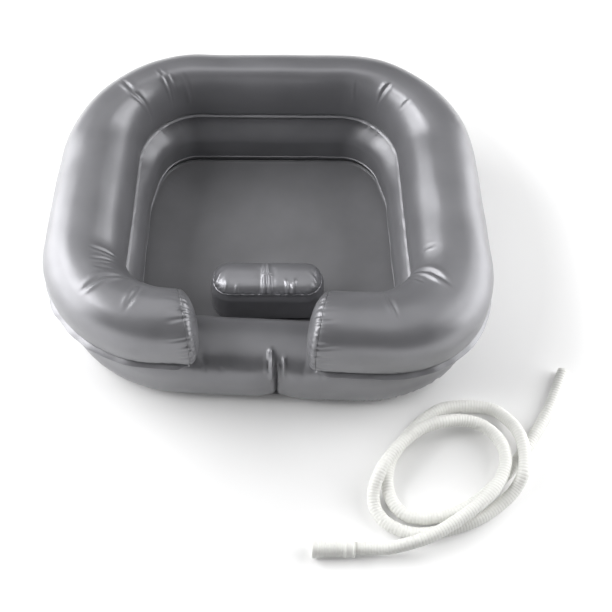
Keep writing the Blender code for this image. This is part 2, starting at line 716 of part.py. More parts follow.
def least_gap(samples):
    """The smallest clear distance of the hose to itself, past its own bends."""
    apart = 4 * HOSE_RADIUS
    spaced = samples[::4]
    lengths = [0]
    for first, second in zip(spaced, spaced[1:]):
        lengths.append(lengths[-1] + (second - first).length)
    closest = min(
        (spaced[one] - spaced[other]).length
        for one in range(len(spaced))
        for other in range(one)
        if lengths[one] - lengths[other] > apart
    )
    return closest - 2 * HOSE_RADIUS


def drain_hose(finish):
    """The ribbed hose with its bore: rings out along the route, and a plainer bore back."""
    samples = curve_through(HOSE_ROUTE)
    length = sum((second - first).length for first, second in zip(samples, samples[1:]))
    straight = 2 * HOSE_RADIUS
    pitch = (length - 2 * straight) / HOSE_RIBS
    outside = [(0, HOSE_VALLEY_RADIUS), (straight, HOSE_VALLEY_RADIUS)]
    for rib in range(HOSE_RIBS):
        start = straight + pitch * rib
        outside += [(start + pitch / 2, HOSE_RADIUS), (start + pitch, HOSE_VALLEY_RADIUS)]
    outside.append((length, HOSE_VALLEY_RADIUS))
    distances = [distance for distance, _ in outside]
    rings = []
    for (point, direction), (_, radius) in zip(walk(samples, distances), outside):
        rings.append(circle_at(point, direction, radius))
    steps = [length * step / HOSE_BORE_RINGS for step in range(HOSE_BORE_RINGS + 1)]
    bore = [circle_at(point, direction, HOSE_BORE_RADIUS) for point, direction in walk(samples, steps)]
    loft("drain_hose", rings + bore[::-1], finish, closed=True)
    gap = least_gap(samples)
    print(f"drain hose: length {length:.4f} m, least gap to itself {gap * 1000:.2f} mm")
    if gap < HOSE_LEAST_GAP:
        print("drain hose: the strands lie too close")


def main():
    """Build the basin about its own centre, and lay the hose in front of it."""
    clear_scene()
    finishes = {
        "skin": material("basin_skin", (0.22, 0.22, 0.235), 0.32),
        "floor": material("floor_skin", (0.16, 0.16, 0.17), 0.42),
        "pillow": material("pillow_skin", (0.20, 0.20, 0.215), 0.32),
        "valve": material("valve_soft", (0.62, 0.63, 0.64), 0.35),
        "flap": material("valve_film", (0.70, 0.71, 0.72), 0.30),
        "plug": material("plug_soft", (0.66, 0.67, 0.68), 0.35),
        "fitting": material("drain_white", (0.82, 0.82, 0.80), 0.35),
        "hose": material("hose_white", (0.80, 0.80, 0.77), 0.45),
    }
    lower = lower_rings()
    upper = upper_rings()
    valve_reach = VALVE_STEM_OUTSIDE + VALVE_CLEARANCE + VALVE_HEAD_THICKNESS + VALVE_KNOB_HEIGHT
    upper_back = UPPER_CROWN.back + UPPER_REACH
    front = min(point.y for ring in lower + upper for point in ring)
    basin = bpy.data.objects.new("basin", None)
    bpy.context.scene.collection.objects.link(basin)
    basin.location.y = -(front + max(upper_back, LOWER_OUTER.back) + valve_reach) / 2
    print(f"basin: moved {basin.location.y * 1000:.3f} mm along Y to stand over its own middle")

    lower_tube = loft("lower_tube", lower, finishes["skin"], basin, closed=True)
    upper_tube = loft("upper_tube", upper, finishes["skin"], basin)
    end_panel("end_panel_right", upper[0], Vector((-1, 0, 0)), finishes["skin"], basin)
    end_panel("end_panel_left", upper[-1], Vector((1, 0, 0)), finishes["skin"], basin)
    floor = floor_sheet(lower, finishes["floor"], basin)
    cushion = pillow(finishes["pillow"], basin)

    valve("upper", (UPPER_VALVE_X, upper_back, UPPER_MIDDLE_Z), upper_tube, finishes, basin)
    valve("lower", (LOWER_VALVE_X, LOWER_OUTER.back, LAYER_Z / 2), lower_tube, finishes, basin)
    pillow_z = FLOOR_TOP_Z + WELD_GAP + PILLOW_HEIGHT * PILLOW_VALVE_HEIGHT_SHARE
    pillow_seat = (PILLOW_VALVE_X, PILLOW_FRONT_Y + PILLOW_DEPTH, pillow_z)
    valve("pillow", pillow_seat, cushion, finishes, basin)
    drain(floor, finishes, basin)

    hose_cuff(finishes["hose"])
    drain_hose(finishes["hose"])


main()
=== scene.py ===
"""Portable shampoo basin: the looks of an inflatable hair-washing bowl and its loose drain hose.

Everything is in metres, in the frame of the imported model: +Z up, with the neck gap open to -Y.
The air chambers and the pillow are grids whose rows run along the bowl and whose columns run
round a section. Each grid is shaped by the same hoops as the model's solids, and then gets the
puckers of its welds, the creases of its bends and the soft waves of a film under air pressure.
"""

import logging
import math
import random
from dataclasses import dataclass
from enum import Enum
from typing import Iterator, Optional, Sequence, Union

import bpy
import numpy as np
from mathutils import Matrix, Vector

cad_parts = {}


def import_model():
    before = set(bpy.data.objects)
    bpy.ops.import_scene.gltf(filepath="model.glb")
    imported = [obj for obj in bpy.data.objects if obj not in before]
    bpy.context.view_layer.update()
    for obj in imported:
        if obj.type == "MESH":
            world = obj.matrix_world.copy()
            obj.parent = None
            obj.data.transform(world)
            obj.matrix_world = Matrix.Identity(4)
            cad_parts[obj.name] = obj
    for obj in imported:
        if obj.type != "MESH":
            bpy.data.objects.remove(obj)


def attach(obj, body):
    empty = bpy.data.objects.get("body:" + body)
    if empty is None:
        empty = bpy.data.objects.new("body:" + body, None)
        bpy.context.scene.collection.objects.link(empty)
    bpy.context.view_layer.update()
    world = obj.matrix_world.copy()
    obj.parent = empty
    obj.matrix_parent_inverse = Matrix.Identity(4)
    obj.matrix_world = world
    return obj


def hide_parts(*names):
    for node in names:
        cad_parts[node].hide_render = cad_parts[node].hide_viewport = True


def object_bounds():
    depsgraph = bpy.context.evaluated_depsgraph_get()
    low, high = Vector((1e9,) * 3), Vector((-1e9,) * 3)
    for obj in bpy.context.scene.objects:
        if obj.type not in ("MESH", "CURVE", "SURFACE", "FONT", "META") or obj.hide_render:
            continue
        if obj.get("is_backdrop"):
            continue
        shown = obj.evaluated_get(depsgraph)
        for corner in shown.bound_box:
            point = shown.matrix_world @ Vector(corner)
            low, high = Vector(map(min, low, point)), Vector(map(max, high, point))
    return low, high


log = logging.getLogger("shampoo_basin")

Array = np.ndarray
Point = tuple[float, float, float]
Color = tuple[float, float, float]
Range = tuple[float, float]
Piece = bpy.types.Object
Material = bpy.types.Material
Node = bpy.types.Node
Socket = bpy.types.NodeSocket

# The attribute that says how gathered the film is, and on the hose how deep a point lies in a groove,
# which the hose's material darkens as painted shade
MARK = "pucker"

# The model stands over its own middle, which moves the bowl's plan by this much along Y
CENTRING_Y = -0.005343

# Where the upper chamber lies on the lower one
LAYER_Z = 0.1022
WELD_GAP = 0.0003

# Points closer than this are one point, and one point starts as a plane this wide
MERGE_DISTANCE = 0.00002
POINT_SIZE = 0.001

# Past these angles an edge is rounded, or stays sharp in the shading
ROUNDED_PAST_DEG = 40
SHARP_PAST_DEG = 35
FILM_SHARP_PAST_DEG = 60

# A pleat is a valley between two ridges, in widths of the valley; the film round it is wrinkled
RIDGE_AT = 1.8
RIDGE_WIDTH = 0.8
WRINKLED_WIDTH = 3

# Soft waves of a chamber's film, and the length over which they close or fade at an end
WAVE_HEIGHT = 0.0005
WAVE_LENGTH = 0.085
FADE_LENGTH = 0.02


class Axis(Enum):
    """Axes that a profile is spun about, each with the turn that brings Z to it."""

    X = (0, math.pi / 2, 0)
    Y = (-math.pi / 2, 0, 0)
    Z = (0, 0, 0)


class Body(Enum):
    """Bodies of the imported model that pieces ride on."""

    BASIN = "basin"
    STOPPER = "stopper"
    UPPER_STEM = "upper_stem"
    UPPER_FLAP = "upper_flap"
    UPPER_PLUG = "upper_plug"
    LOWER_STEM = "lower_stem"
    LOWER_FLAP = "lower_flap"
    LOWER_PLUG = "lower_plug"
    PILLOW_STEM = "pillow_stem"
    PILLOW_FLAP = "pillow_flap"
    PILLOW_PLUG = "pillow_plug"


class Slot(Enum):
    """Material slots of the record."""

    BASIN = "basin_skin"
    FLOOR = "floor_skin"
    PILLOW = "pillow_skin"
    VALVE = "valve_soft"
    FILM = "valve_film"
    PLUG = "plug_soft"
    DRAIN = "drain_white"
    HOSE = "hose_white"


class Weld(Enum):
    """Welds of an air chamber, by the angle of the section that they run along."""

    OUTER_TOP = 45
    INNER_TOP = 135
    INNER_LOW = 225
    OUTER_LOW = 315


# Modelling helpers


def deselect() -> None:
    """Leave edit mode and select nothing."""
    if bpy.context.object and bpy.context.object.mode != "OBJECT":
        bpy.ops.object.mode_set(mode="OBJECT")
    bpy.ops.object.select_all(action="DESELECT")


def select_only(piece: Piece) -> None:
    """Select one piece and make it active.

    Args:
        piece: the piece that the next operators act on.
    """
    deselect()
    piece.select_set(True)
    bpy.context.view_layer.objects.active = piece


def apply_modifier(piece: Piece, kind: str, **settings: object) -> None:
    """Give a piece a modifier and apply it.

    Args:
        piece: the piece to change.
        kind: the modifier's kind.
        settings: its settings.
    """
    select_only(piece)
    modifier = piece.modifiers.new(kind.lower(), kind)
    for name, value in settings.items():
        setattr(modifier, name, value)
    bpy.ops.object.modifier_apply(modifier=modifier.name)


def settle_transform(piece: Piece) -> None:
    """Put a piece's place, turn and scale into its mesh."""
    select_only(piece)
    bpy.ops.object.transform_apply(location=True, rotation=True, scale=True)


def shade_smooth(piece: Piece, sharp_deg: float) -> None:
    """Shade a piece smooth, with edges past an angle left sharp."""
    select_only(piece)
    bpy.ops.object.shade_smooth_by_angle(angle=math.radians(sharp_deg))


def close_surface(piece: Piece) -> None:
    """Merge the points that meet and turn every face outwards.

    Args:
        piece: the piece to close.
    """
    select_only(piece)
    bpy.ops.object.mode_set(mode="EDIT")
    bpy.ops.mesh.select_all(action="SELECT")
    bpy.ops.mesh.remove_doubles(threshold=MERGE_DISTANCE)
    bpy.ops.mesh.select_all(action="SELECT")
    bpy.ops.mesh.normals_make_consistent(inside=False)
    bpy.ops.object.mode_set(mode="OBJECT")


def dress(
    piece: Piece,
    finish: Material,
    slot: Slot,
    *nodes: str,
    body: Body = Body.BASIN,
) -> Piece:
    """Give a finished piece its material and its body, and hide the solids that it stands for.

    Args:
        piece: the finished piece.
        finish: its material.
        slot: not used.
        nodes: the solids that it replaces.
        body: the body that it rides on.

    Returns:
        The same piece.
    """
    piece.data.materials.clear()
    piece.data.materials.append(finish)
    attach(piece, body.value)
    if nodes:
        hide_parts(*nodes)
    log.info("%s: %d faces on %s", piece.name, len(piece.data.polygons), body.value)
    return piece


def grid_piece(name: str, places: Array, marks: Array) -> Piece:
    """Add a flat grid and shape it: each of its points goes to its place in space.

    Args:
        name: the piece's name.
        places: points in space, by station along the bowl and step round the section.
        marks: one number for each point, kept as an attribute for the material.

    Returns:
        The shaped piece, closed where its edges meet.
    """
    stations, steps = places.shape[:2]
    deselect()
    bpy.ops.mesh.primitive_grid_add(x_subdivisions=stations - 1, y_subdivisions=steps - 1, size=2)
    piece = bpy.context.object
    mesh = piece.data
    piece.name = mesh.name = name
    flat = np.empty(len(mesh.vertices) * 3)
    mesh.vertices.foreach_get("co", flat)
    flat = flat.reshape(-1, 3)
    along = np.rint((flat[:, 0] + 1) / 2 * (stations - 1)).astype(int)
    across = np.rint((flat[:, 1] + 1) / 2 * (steps - 1)).astype(int)
    mesh.vertices.foreach_set("co", places[along, across].ravel())
    attribute = mesh.attributes.new(MARK, "FLOAT", "POINT")
    attribute.data.foreach_set("value", marks[along, across].ravel())
    close_surface(piece)
    select_only(piece)
    bpy.ops.object.shade_smooth()
    return piece


def turned(
    name: str,
    profile: Sequence[tuple[float, float]],
    origin: Point,
    axis: Axis,
    ring: bool,
    bevel: float = 0.0,
    sides: int = 64,
) -> Piece:
    """Extrude a profile from one point and spin it about an axis.

    Args:
        name: the piece's name.
        profile: radii and heights along the axis.
        origin: the point that heights are measured from.
        axis: the axis.
        ring: True for a ring, whose profile closes on itself; False for a solid on its axis.
        bevel: the width of the rounding on its edges.
        sides: the number of steps round the axis.

    Returns:
        The turned piece.
    """
    deselect()
    radius, height = profile[0]
    bpy.ops.mesh.primitive_plane_add(size=POINT_SIZE, location=(radius, 0, height))
    piece = bpy.context.object
    piece.name = piece.data.name = name
    settle_transform(piece)
    bpy.ops.object.mode_set(mode="EDIT")
    bpy.ops.mesh.select_all(action="SELECT")
    bpy.ops.mesh.merge(type="CENTER")
    stops = list(profile[1:]) + ([profile[0]] if ring else [])
    for next_radius, next_height in stops:
        step = (next_radius - radius, 0, next_height - height)
        bpy.ops.mesh.extrude_region_move(TRANSFORM_OT_translate={"value": step})
        radius, height = next_radius, next_height
    bpy.ops.mesh.select_all(action="SELECT")
    bpy.ops.mesh.spin(steps=sides, angle=math.tau, center=(0, 0, 0), axis=(0, 0, 1))
    close_surface(piece)
    piece.rotation_euler = axis.value
    piece.location = origin
    settle_transform(piece)
    if bevel:
        apply_modifier(piece, "BEVEL", width=bevel, segments=2, limit_method="ANGLE",
                       angle_limit=math.radians(ROUNDED_PAST_DEG))
    shade_smooth(piece, SHARP_PAST_DEG)
    return piece


def cut_round(
    piece: Piece, origin: Point, axis: Axis, radius: float, low: float, high: float,
) -> None:
    """Cut a round well or hole into a piece.

    Args:
        piece: the piece to cut.
        origin: a point on the hole's axis.
        axis: the axis.
        radius: the hole's radius.
        low: where the hole starts along the axis, from the origin.
        high: where it ends.
    """
    profile = [(0, low), (radius, low), (radius, high), (0, high)]
    cutter = turned("round_cutter", profile, origin, axis, False)
    apply_modifier(piece, "BOOLEAN", operation="DIFFERENCE", solver="MANIFOLD", object=cutter)
    bpy.data.objects.remove(cutter, do_unlink=True)


# Sums over points


def smooth_step(share: Array) -> Array:
    """Ease from 0 to 1, with numbers below 0 or above 1 clipped."""
    share = np.clip(share, 0, 1)
    return share * share * (3 - 2 * share)


def bell(offset: Array) -> Array:
    """Fall from 1 in the middle towards 0 on both sides."""
    return np.exp(-(offset ** 2))


def pleat(offset: Array, ridge: float) -> Array:
    """A pleat's section: a valley 1 deep between two ridges of a given height."""
    return ridge * bell((np.abs(offset) - RIDGE_AT) / RIDGE_WIDTH) - bell(offset)


def faded(away: Array, length: Union[float, Array], power: float) -> Array:
    """Fall from 1 to 0 over a length, by a power."""
    return np.clip(1 - away / length, 0, 1) ** power


def wrapped(gap: Array, total: float) -> Array:
    """Signed distances round a closed line, each taken the shorter way."""
    return (gap + total / 2) % total - total / 2


def unit(ways: Array) -> Array:
    """The same directions with a length of 1."""
    return ways / np.maximum(np.linalg.norm(ways, axis=-1, keepdims=True), 1e-12)


def at_height(plan: Array, height: Union[float, Array]) -> Array:
    """Points of a plan, each at its height."""
    return np.concatenate((plan, np.broadcast_to(height, plan.shape[:-1])[..., None]), axis=-1)


def end_fade(run: Array) -> Array:
    """1 along a line and 0 at its two ends."""
    return smooth_step(np.minimum(run, run[-1] - run) / FADE_LENGTH)


def distance_along(points: Array, axis: int = 0) -> Array:
    """The distance travelled along lines of points.

    Args:
        points: points in space or in plan.
        axis: the array's axis that each line runs along.

    Returns:
        Distances from each line's first point.
    """
    chords = np.linalg.norm(np.diff(points, axis=axis), axis=-1)
    start = np.zeros_like(np.take(chords, [0], axis=axis))
    return np.concatenate((start, np.cumsum(chords, axis=axis)), axis=axis)


def capped(rows: Array) -> Array:
    """A tube's rows with each end drawn together in the middle of its last section."""
    first, last = (np.broadcast_to(rows[end, :-1].mean(axis=0), rows[:1].shape) for end in (0, -1))
    return np.concatenate((first, rows, last))


def scattered(
    draw: random.Random, first: float, end: float, spacing: float, steps: Range, *ranges: Range,
) -> Iterator[tuple[float, ...]]:
    """Uneven places along a line, each with numbers of its own.

    Args:
        draw: where the numbers come from.
        first: the first place.
        end: where the line ends.
        spacing: the unit that the steps are in.
        steps: the range of the steps between places.
        ranges: the range of each of a place's numbers.

    Yields:
        A place and its numbers.
    """
    place = first
    while place < end:
        yield (place, *(draw.uniform(*limits) for limits in ranges))
        place += spacing * draw.uniform(*steps)


def waves(first: Array, second: Array, length: float, seed: int, count: int = 9) -> Array:
    """Soft uneven waves over a surface, as a sum of sines in unlike directions.

    Args:
        first: places along the surface.
        second: places across it.
        length: the mean wavelength.
        seed: the number that the directions and phases come from.
        count: the number of sines.

    Returns:
        Heights from about -1 to 1.
    """
    draw = random.Random(seed)
    total = np.zeros(np.broadcast(first, second).shape)
    for _ in range(count):
        turn = draw.uniform(0, math.tau)
        wave = math.tau / (length * draw.uniform(0.7, 1.5))
        phase = draw.uniform(0, math.tau)
        total += np.sin(wave * (first * math.cos(turn) + second * math.sin(turn)) + phase)
    return total / math.sqrt(count)


# Plan of the bowl


@dataclass(frozen=True)
class Hoop:
    """A rounded rectangle in plan, which runs from one x on its front round to another.

    It has nine stretches: five straight ones, with a corner between each two.
    """

    half_width: float
    back: float
    front: float
    back_radius: float
    front_radius: float

    def grown(self, reach: float) -> "Hoop":
        """The hoop that lies a constant distance outside this one."""
        return Hoop(
            self.half_width + reach, self.back + reach, self.front + reach,
            self.back_radius + reach, self.front_radius + reach,
        )

    def corners(self) -> list[tuple[float, float, float, float]]:
        """Centre, radius and first angle of each corner, from the front right anticlockwise."""
        front_x = self.half_width - self.front_radius
        back_x = self.half_width - self.back_radius
        front_y = self.front_radius - self.front
        back_y = self.back - self.back_radius
        return [
            (front_x, front_y, self.front_radius, -90),
            (back_x, back_y, self.back_radius, 0),
            (-back_x, back_y, self.back_radius, 90),
            (-front_x, front_y, self.front_radius, 180),
        ]

    def knots(self, ends: Range) -> list[tuple[Array, Array]]:
        """The first and last point of each stretch.

        Args:
            ends: where the hoop starts and ends on its front.

        Returns:
            Two points for each of the nine stretches.
        """
        found = [np.array((ends[0], -self.front))]
        for x, y, radius, first in self.corners():
            for angle in (first, first + 90):
                turn = math.radians(angle)
                found.append(np.array((x + radius * math.cos(turn), y + radius * math.sin(turn))))
        found.append(np.array((ends[1], -self.front)))
        return list(zip(found, found[1:]))

    def marks(self, spacing: float, ends: Range) -> Array:
        """Even stations, each a stretch's number plus the share of the way along it.

        Args:
            spacing: the distance between stations.
            ends: where the hoop starts and ends on its front.

        Returns:
            The stations, from 0 to the number of stretches.
        """
        found = []
        knots = self.knots(ends)
        for index, (first, last) in enumerate(knots):
            chord = np.linalg.norm(last - first)
            length = chord * math.pi / (2 * math.sqrt(2)) if index % 2 else chord
            steps = max(3, round(length / spacing))
            found.append(index + np.arange(steps) / steps)
        return np.concatenate(found + [[len(knots)]])

    def places(self, marks: Array, ends: Range) -> Array:
        """Points of the hoop at stations.

        Args:
            marks: the stations.
            ends: where the hoop starts and ends on its front.

        Returns:
            One x and y for each station.
        """
        knots = self.knots(ends)
        stretch = np.minimum(marks.astype(int), len(knots) - 1)
        found = np.empty((len(marks), 2))
        corners = self.corners()
        for index, (first, last) in enumerate(knots):
            here = stretch == index
            part = (marks - stretch)[here][:, None]
            if index % 2:
                x, y, radius, start = corners[index // 2]
                turn = np.radians(start + 90 * part)
                found[here] = np.hstack((x + radius * np.cos(turn), y + radius * np.sin(turn)))
            else:
                found[here] = first + (last - first) * part
        return found


UPPER_CROWN = Hoop(0.2580, 0.2105, 0.2045, 0.1421, 0.1123)
UPPER_REACH = 0.0496
UPPER_INNER = Hoop(0.1970, 0.1840, 0.1545, 0.0876, 0.0650)
LOWER_CROWN = Hoop(0.2500, 0.2030, 0.2025, 0.1100, 0.1156)
LOWER_OUTER = Hoop(0.2985, 0.2500, 0.2520, 0.1560, 0.1820)
LOWER_INNER = Hoop(0.1865, 0.1800, 0.1500, 0.0740, 0.0650)

# Even stations are laid off on a hoop this far outside a chamber's crown
STATION_REACH = 0.02

# The bowl narrows to the back, its front edge turns to the right and its back corners lean
NARROWING_SHARE = 0.056
SKEW_SHARE = 0.055
SKEW_START_Y = 0.060
BACK_LEAN = 0.0045

# The upper part of a chamber's inner wall, set back from the inner hoop towards the rear
WALL_SET_BACK = 0.0050


def settled(places: Array) -> Array:
    """The plan as it stands: narrower to the back, and its front edge turned to the right.

    Args:
        places: points, with x and y first.

    Returns:
        The same points, moved in x and y.
    """
    x, y = places[..., 0], places[..., 1]
    mid_y = (UPPER_CROWN.back - UPPER_CROWN.front) / 2
    narrow = 1 - NARROWING_SHARE * (y - mid_y) / UPPER_CROWN.half_width
    turn = np.clip((SKEW_START_Y - y) / (SKEW_START_Y + LOWER_INNER.front), 0, 1)
    moved = places.copy()
    moved[..., 0] = x * narrow
    moved[..., 1] = y - SKEW_SHARE * x * turn + CENTRING_Y
    return moved


def chamber_plans(
    crown: Hoop, outer: Hoop, inner: Hoop, spacing: float, ends: Range,
) -> tuple[Array, Array, Array]:
    """Plans of a chamber's crown and its two sides, at the same stations.

    Args:
        crown: the crown's hoop.
        outer: the outer side's hoop.
        inner: the inner side's hoop.
        spacing: the distance between stations.
        ends: where the chamber starts and ends on its front.

    Returns:
        Points of the crown, the outer side and the inner side.
    """
    marks = crown.grown(STATION_REACH).marks(spacing, ends)
    middle, outside, inside = (hoop.places(marks, ends) for hoop in (crown, outer, inner))
    inside[:, 1] += WALL_SET_BACK * smooth_step(inside[:, 1] / inner.back)
    outside[:, 0] += BACK_LEAN * smooth_step(outside[:, 1] / outer.back)
    return middle, outside, inside


# Air chambers


@dataclass(frozen=True)
class Puckers:
    """A row of small pleats that start at a weld and fade away from it.

    The pleats' strength is given along the weld, by shares of its length.
    """

    weld: Weld
    spacing: float
    length: float
    width: float
    depth: float
    seed: int
    strengths: tuple[tuple[float, float], ...] = ((0.0, 1.0), (1.0, 1.0))
    starts: Range = (0.3, 1)
    steps: Range = (0.6, 1.5)
    depth_shares: Range = (0.45, 1.25)
    length_shares: Range = (0.5, 1.5)
    width_shares: Range = (0.75, 1.3)
    leans: Range = (-0.35, 0.35)
    ridge: float = 0.45


@dataclass(frozen=True)
class EndPuckers:
    """Pleats that run along a chamber from its two ends."""

    length: float
    spacing: float
    depth: float
    seed: int
    steps: Range = (0.65, 1.4)
    length_shares: Range = (0.45, 1.5)
    depth_shares: Range = (0.4, 1.3)
    width_shares: Range = (0.16, 0.26)
    leans: Range = (-0.25, 0.25)
    ridge: float = 0.4


@dataclass(frozen=True)
class Crease:
    """One fold of the film, along stops that each are a share of the way round and an angle."""

    stops: tuple[tuple[float, float], ...]
    depth: float
    width: float
    ridge: float = 0.9
    top_angles: Range = (12, 172)

    def section(self, side: Array) -> Array:
        """The fold's height across its line, with its higher ridge on the right."""
        right = self.ridge * bell(side - 1.8)
        return right - bell(side) + 0.35 * self.ridge * bell((side + 2.1) / 1.2)


@dataclass(frozen=True)
class ValveSeat:
    """The flat patch of film round an inflation valve, which faces +Y."""

    x: float
    y: float
    z: float
    flat_radius: float = 0.0122
    blend_radius: float = 0.0230
    pleats: int = 11
    pleat_depth: float = 0.0005
    reach_y: float = 0.03


@dataclass
class SkinForm:
    """A chamber's surface as a grid of points, with the heights of its folds.

    Once made, it also holds by station and step: places, points in space; normals, directions
    out of the chamber; arc, the distance round the section from its outer side; angle_deg, the
    section's angle; heights, how far each point stands out from the smooth form; and puckered,
    how gathered the film is. run is the distance along the crown at each station.

    Attributes:
        crown: plan of the crown, one point for each station.
        outer: plan of the outer side.
        inner: plan of the inner side.
        squareness: one number for each station and quarter of the section.
        middle_z: height of the section's widest level.
        rise: height of the crown above it.
        fall: depth of the underside below it.
        steps: steps round the section.
        ring: True if the last station is the first.
        end_scales: how far each station's section is drawn in.
        inner_drop: how much lower the widest level lies on the inner side.
        fine_steps: steps round the section that distances are measured with.
    """

    crown: Array
    outer: Array
    inner: Array
    squareness: Array
    middle_z: float
    rise: float
    fall: float
    steps: int
    ring: bool
    end_scales: Union[float, Array] = 1.0
    inner_drop: float = 0.0
    fine_steps: int = 720

    def __post_init__(self) -> None:
        """Lay a grid over the smooth form."""
        fine_deg = np.linspace(0, 360, self.fine_steps + 1)
        travelled = distance_along(self.points_at(np.tile(fine_deg, (len(self.crown), 1))), axis=1)
        self.perimeter = travelled[:, -1:]
        even = np.linspace(0, 1, self.steps + 1)
        self.angle_deg = np.array([
            np.interp(even * total[-1], total, fine_deg) for total in travelled
        ])
        self.arc = even * self.perimeter
        self.weld_arcs = {
            weld: np.array([[np.interp(weld.value, fine_deg, total)] for total in travelled])
            for weld in Weld
        }
        self.places = self.points_at(self.angle_deg)
        self.normals = self.outward_normals()
        self.run = distance_along(self.line_at(90))
        self.heights = np.zeros(self.arc.shape)
        self.puckered = np.zeros(self.arc.shape)

    def points_at(self, angle_deg: Array) -> Array:
        """Points of the smooth form.

        Args:
            angle_deg: angles of the section, by station.

        Returns:
            Points in space.
        """
        turn = np.radians(angle_deg)
        quarter = np.minimum(angle_deg // 90, 3).astype(int)
        power = 2 / np.take_along_axis(self.squareness, quarter, axis=1)
        scale = np.broadcast_to(self.end_scales, len(self.crown))[:, None]
        across = np.sign(np.cos(turn)) * np.abs(np.cos(turn)) ** power * scale
        up = np.sign(np.sin(turn)) * np.abs(np.sin(turn)) ** power
        up = np.where(up > 0, up * scale, up)
        side = np.where((across > 0)[..., None], self.outer[:, None], self.inner[:, None])
        plan = self.crown[:, None] + (side - self.crown[:, None]) * np.abs(across)[..., None]
        drop = np.where(across < 0, self.inner_drop, 0)
        height = self.middle_z - drop + up * np.where(up > 0, self.rise + drop, self.fall - drop)
        return settled(at_height(plan, height))

    def line_at(self, angle_deg: float) -> Array:
        """The smooth form's line along one angle of the section."""
        return self.points_at(np.full((len(self.crown), 1), float(angle_deg)))[:, 0]

    def outward_normals(self) -> Array:
        """Directions out of the chamber.

        Returns:
            Unit directions, by station and step.
        """
        loop = self.places[:, :-1]
        round_it = np.roll(loop, -1, axis=1) - np.roll(loop, 1, axis=1)
        round_it = np.concatenate((round_it, round_it[:, :1]), axis=1)
        if self.ring:
            loop = self.places[:-1]
            along = np.roll(loop, -1, axis=0) - np.roll(loop, 1, axis=0)
            along = np.concatenate((along, along[:1]))
        else:
            along = np.gradient(self.places, axis=0)
        out = unit(np.cross(along, round_it))
        from_middle = self.places - self.places.mean(axis=1, keepdims=True)
        outward = (from_middle * out).sum(axis=2, keepdims=True).sum(axis=1, keepdims=True)
        return out * np.where(outward < 0, -1, 1)

    def add_waves(self, seed: int) -> None:
        """Add soft uneven waves all over, which close on themselves.

        Args:
            seed: the number that they come from.
        """
        field_of = waves(self.run[:, None], self.arc, WAVE_LENGTH, seed)
        if self.ring:
            share = smooth_step((self.run[-1] - self.run) / (0.1 * self.run[-1]))[:, None]
            field_of = field_of * share + field_of[:1] * (1 - share)
        seam = smooth_step(np.minimum(self.arc, self.perimeter - self.arc) / FADE_LENGTH)
        self.heights += WAVE_HEIGHT * (field_of * seam + field_of[:, :1] * (1 - seam))

    def add_pleat(self, rows: Array, offset: Array, deep: Array, fade: Array, ridge: float) -> None:
        """Add one pleat.

        Args:
            rows: the stations that it lies on.
            offset: distances from its line, in its widths.
            deep: its depth, faded away from its start.
            fade: how wrinkled the film is along it.
            ridge: the height of its ridges, as a share of its depth.
        """
        self.heights[rows] += deep * pleat(offset, ridge)
        wrinkled = fade * bell(offset / WRINKLED_WIDTH)
        self.puckered[rows] = np.maximum(self.puckered[rows], wrinkled)

    def add_puckers(self, row: Puckers) -> None:
        """Add a row of pleats along a weld.

        Args:
            row: the pleats' sizes.
        """
        draw = random.Random(row.seed)
        travelled = distance_along(self.line_at(row.weld.value))
        total = travelled[-1]
        away = np.abs(wrapped(self.arc - self.weld_arcs[row.weld], self.perimeter))
        shares, strengths = zip(*row.strengths)
        first = draw.uniform(*row.starts) * row.spacing
        for place, deep, long, wide, lean in scattered(
            draw, first, total - row.spacing / 2, row.spacing, row.steps,
            row.depth_shares, row.length_shares, row.width_shares, row.leans,
        ):
            strength = float(np.interp(place / total, shares, strengths))
            length = row.length * long * (0.6 + 0.4 * strength)
            width = row.width * wide
            gap = travelled - place
            if self.ring:
                gap = wrapped(gap, total)
            rows = np.nonzero(np.abs(gap) < 5 * width + 0.4 * length)[0]
            near = away[rows]
            fade = faded(near, length, 1.4)
            offset = (gap[rows][:, None] - lean * near) / (width * (0.55 + 0.9 * near / length))
            self.add_pleat(rows, offset, row.depth * strength * deep * fade, fade * strength, row.ridge)

    def add_end_puckers(self, row: EndPuckers) -> None:
        """Add pleats that run along the chamber from its two ends.

        Args:
            row: the pleats' sizes.
        """
        draw = random.Random(row.seed)
        for end in (0, -1):
            away = np.abs(self.run - self.run[end])
            rows = np.nonzero(away < 2.2 * row.length)[0]
            near = away[rows][:, None]
            total = float(self.perimeter[end, 0])
            for place, long, deep, wide, lean in scattered(
                draw, 0.0, total - row.spacing / 2, row.spacing, row.steps,
                row.length_shares, row.depth_shares, row.width_shares, row.leans,
            ):
                length = row.length * long
                fade = faded(near, length, 1.2)
                round_it = self.arc[rows] / self.perimeter[rows] * total
                gap = wrapped(round_it - place - lean * near, total)
                offset = gap / (row.spacing * wide * (0.7 + 0.6 * near / length))
                self.add_pleat(rows, offset, row.depth * deep * fade, fade, row.ridge)

